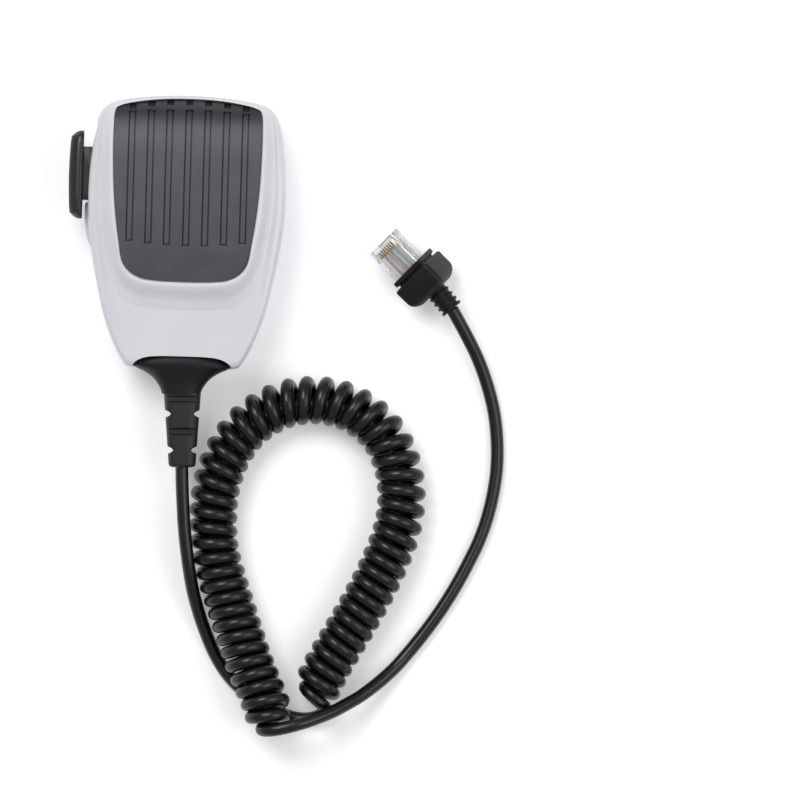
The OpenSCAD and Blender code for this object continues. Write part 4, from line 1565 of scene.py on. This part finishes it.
@dataclass
class ModularPlug:
    """The clear eight-way plug, its rubber boot and the ringed relief behind that."""

    place: Place = (78.1, -10.8, 10.46)
    turn: float = 137.0
    roll: float = -26.0
    lift: float = 2.2
    tip: float = 13.0
    length: float = 21.5
    width: float = 11.68
    height: float = 6.6
    contact_pitch: float = 1.02
    contact_low: float = 8.6
    contact_high: float = 11.4
    boot_length: float = 12.2
    boot_side: float = 16.4
    relief_length: float = 8.3
    relief_turn: float = -5.0
    wire_radius: float = 0.42
    wire_segments: int = 20
    wire_level: float = -0.75
    wire_colours: tuple[str, ...] = (
        "#7A4A2A", "#E9E6E0", "#2F8F4E", "#F2EFE9", "#3A5FA8", "#E8893A", "#F0ECE6", "#C9542C",
    )

    def contact_y(self, index: int) -> float:
        """Where a contact and its wire are across the plug."""
        return (index - (len(self.wire_colours) - 1) / 2) * self.contact_pitch

    def boot_frame(self) -> Matrix:
        """Where the boot is, with the plug along +X."""
        turn = Matrix.Rotation(math.radians(self.turn), 4, "Z")
        roll = Matrix.Rotation(math.radians(self.roll), 4, "X")
        return Matrix.Translation(self.place) @ turn @ roll

    def plug_frame(self) -> Matrix:
        """Where the plug is, which sits above the middle of the boot."""
        return self.boot_frame() @ Matrix.Translation((0, 0, self.lift))

    def relief_frame(self) -> Matrix:
        """Where the relief is, with the cord along +Z."""
        turn = Matrix.Rotation(math.radians(self.turn), 4, "Z")
        side = Matrix.Rotation(math.radians(self.relief_turn), 4, "Z")
        back = Matrix.Rotation(math.radians(-90), 4, "Y")
        step = Matrix.Translation((-self.boot_length, 0, 0))
        return Matrix.Translation(self.place) @ turn @ step @ side @ back

    @staticmethod
    def square(x: float, width: float, deep: float, radius: float) -> list[Place]:
        """A square section with rounded corners.

        Args:
            x: its place along the plug.
            width: its width.
            deep: its depth.
            radius: radius of its corners.

        Returns:
            The section, with nine points to a corner.
        """
        ring = []
        for quarter in range(4):
            sy = 1 if quarter in (0, 3) else -1
            sz = 1 if quarter in (0, 1) else -1
            for k in range(9):
                a = math.pi / 2 * (quarter + k / 8)
                ring.append((
                    x, sy * (width / 2 - radius) + radius * math.cos(a),
                    sz * (deep / 2 - radius) + radius * math.sin(a),
                ))
        return ring

    def boot(self, maker: Maker) -> None:
        """Makes the rubber boot, with its front flange and groove.

        Args:
            maker: makes the piece.
        """
        side = self.boot_side
        stations = (
            (0.0, side - 2.8, 1.0), (-0.2, side - 2.4, 1.1), (-1.6, side - 2.4, 1.1),
            (-1.75, side - 2.8, 1.1), (-1.9, side - 4.2, 1.1), (-2.5, side - 4.2, 1.1),
            (-2.6, side - 1.2, 1.2), (-2.9, side - 0.3, 1.5), (-3.3, side, 1.6),
            (-8.6, side, 1.8), (-9.8, side - 0.35, 2.2), (-10.8, side - 1.3, 2.5),
            (-11.6, side - 2.8, 2.8), (-12.05, side - 4.3, 2.9), (-12.2, side - 5.4, 2.9),
        )
        form = Form().loft([
            self.square(x, wide, wide - (0.4 if wide < side - 2 else 0.0), r)
            for x, wide, r in stations
        ])
        hole = Form().block(
            (self.tip - self.length - 0.05, -self.width / 2 - 0.05, -self.height / 2 - 0.05),
            (1.0, self.width / 2 + 0.05, self.height / 2 + 0.05),
        )
        hole.move(Matrix.Translation((0, 0, self.lift)))
        slot = Form().block((-7, -3.7, -side), (1, 3.7, self.lift))
        bore = Form()
        bore.post((0, 0), -4.6, 6.0, 2.3, segments=48)
        frame = self.boot_frame()
        bore.move(frame.inverted() @ self.relief_frame())
        maker.piece(
            form.move(frame), "plug_rubber_boot", "boot_rubber",
            tools=[
                (Operation.CUT, hole.move(frame)), (Operation.CUT, slot.move(frame)),
                (Operation.CUT, bore.move(frame)),
            ],
            bevel=0.15, smooth=38.0, replaces=("plug_boot",),
        )

    def relief(self, maker: Maker) -> None:
        """Turns the ringed relief behind the boot.

        Args:
            maker: makes the piece.
        """
        outline: list[Point] = [(0.0, -0.25), (3.5, -0.25)]
        for k in range(4):
            low = 1.0 + 2.1 * k
            root = 3.5 - 0.4 * (low + 0.5) / self.relief_length
            outline += [
                (root, low - 0.1), (3.75, low), (3.95, low + 0.2), (4.0, low + 0.5),
                (3.95, low + 0.8), (3.75, low + 1.0), (root, low + 1.1),
            ]
        outline += [(3.1, self.relief_length - 0.15), (2.9, self.relief_length)]
        outline += [(0.0, self.relief_length)]
        outline = [p for k, p in enumerate(outline) if k == 0 or p[1] <= self.relief_length]
        form = Form().spin(outline).move(self.relief_frame())
        maker.piece(
            form, "plug_ringed_relief", "boot_rubber", smooth=50.0, replaces=("plug_relief",)
        )

    def body(self, maker: Maker) -> None:
        """Makes the clear body, with its wire cavity and contact slots.

        Args:
            maker: makes the piece.
        """
        back, tip = self.tip - self.length, self.tip
        w, h = self.width / 2, self.height / 2
        form = Form().block((back, -w, -h), (tip, w, h), 0.3)
        cavity = Form().block((back - 1, -4.3, -1.2), (self.contact_low + 1.2, 4.3, 1.2))
        slots = Form()
        for k in range(len(self.wire_colours)):
            y = self.contact_y(k)
            slots.block((self.contact_low, y - 0.3, -0.4), (self.contact_high, y + 0.3, 6))
        step = Form().block((self.contact_low - 1.2, -w - 1, h - 0.7), (tip + 1, -w + 0.9, h + 1))
        other = Form().block((self.contact_low - 1.2, w - 0.9, h - 0.7), (tip + 1, w + 1, h + 1))
        frame = self.plug_frame()
        maker.piece(
            form.move(frame), "plug_clear_body", "clear_plastic",
            tools=[
                (Operation.CUT, tool.move(frame)) for tool in (cavity, slots, step, other)
            ],
            smooth=30.0, replaces=("plug_body",),
        )

    def wires(self, maker: Maker) -> None:
        """Lays eight insulated conductors under the contacts, each in its own colour.

        Args:
            maker: makes the piece.
        """
        form = Form()
        layer = form.bm.verts.layers.float_color.new("insulation")
        low, high = self.tip - self.length + 0.3, self.contact_low + 0.9
        for k, colour in enumerate(self.wire_colours):
            before = set(form.bm.verts)
            y = self.contact_y(k)
            angles = [2 * math.pi * j / self.wire_segments for j in range(self.wire_segments)]
            form.loft([
                [(x, y + r * math.cos(a), self.wire_level + r * math.sin(a)) for a in angles]
                for x, r in (
                    (low, self.wire_radius - 0.08), (low + 0.1, self.wire_radius),
                    (high - 0.1, self.wire_radius), (high, self.wire_radius - 0.08),
                )
            ])
            for vert in set(form.bm.verts) - before:
                vert[layer] = linear(colour)
        maker.piece(
            form.move(self.plug_frame()), "plug_conductors", "wire_insulation",
            smooth=40.0, replaces=("plug_wires",),
        )

    def build(self, maker: Maker) -> None:
        """Makes the plug's pieces.

        Args:
            maker: makes the pieces.
        """
        self.boot(maker)
        self.relief(maker)
        self.body(maker)
        self.wires(maker)


# ---------------------------------------------------------------- carried-over nodes


@dataclass
class Fittings:
    """The frame nodes whose shape is kept. Each takes the finish of what it is made of."""

    finish_of: dict[str, str] = field(default_factory=lambda: {
        "shell_gasket": "gasket_rubber", "dust_screen": "screen_fabric",
        "mic_capsule": "capsule_metal", "capsule_sleeve": "gasket_rubber",
        "circuit_board": "board_laminate", "board_parts": "component_resin",
        "board_screws": "screw_steel", "ptt_switch": "component_resin",
        "ptt_switch_plunger": "plunger_plastic", "ptt_pivot_pin": "stud_steel",
        "ptt_spring": "screw_steel", "wire_header": "connector_nylon",
        "wire_plug": "connector_nylon", "lead_wires": "inner_wires",
        "case_screws": "screw_steel", "hanger_stud": "stud_steel", "stud_screw": "screw_steel",
        "stud_washer": "screw_steel", "cord_end": "cord_jacket", "cord_clamp": "screw_steel",
        "clamp_screws": "screw_steel", "plug_latch": "clear_plastic",
        "plug_contacts": "contact_gold", "plug_cord_end": "cord_jacket",
    })

    def build(self, nodes: dict[str, bpy.types.Object], finishes: Finishes) -> None:
        """Dresses the kept nodes.

        Args:
            nodes: the frame's nodes by name.
            finishes: the finishes.
        """
        for name, finish in self.finish_of.items():
            slots = nodes[name].material_slots
            if not slots:
                nodes[name].data.materials.append(finishes[finish])
            for place in slots:
                place.material = finishes[finish]
            LOG.info("dressed %s as %s", name, finishes[finish].name)


def main() -> None:
    """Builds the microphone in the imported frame."""
    logging.basicConfig(level=logging.INFO, format="%(name)s: %(message)s")
    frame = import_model()
    maker = Maker(Finishes())
    Studio().build()
    cord = Cord()
    cord_piece = cord.build(maker)
    shape = HousingShape()
    Housing(shape).build(maker)
    GrillePanel(shape).build(maker)
    TalkLever().build(maker)
    CordEntry(shape).build(maker)
    ModularPlug().build(maker)
    Fittings().build(frame["nodes"], maker.finishes)
    round(cord.length(), 3)
    LOG.info("cord is %.3f m long, and %d pieces were made", cord.length(), maker.count)


if __name__ == "__main__":
    main()
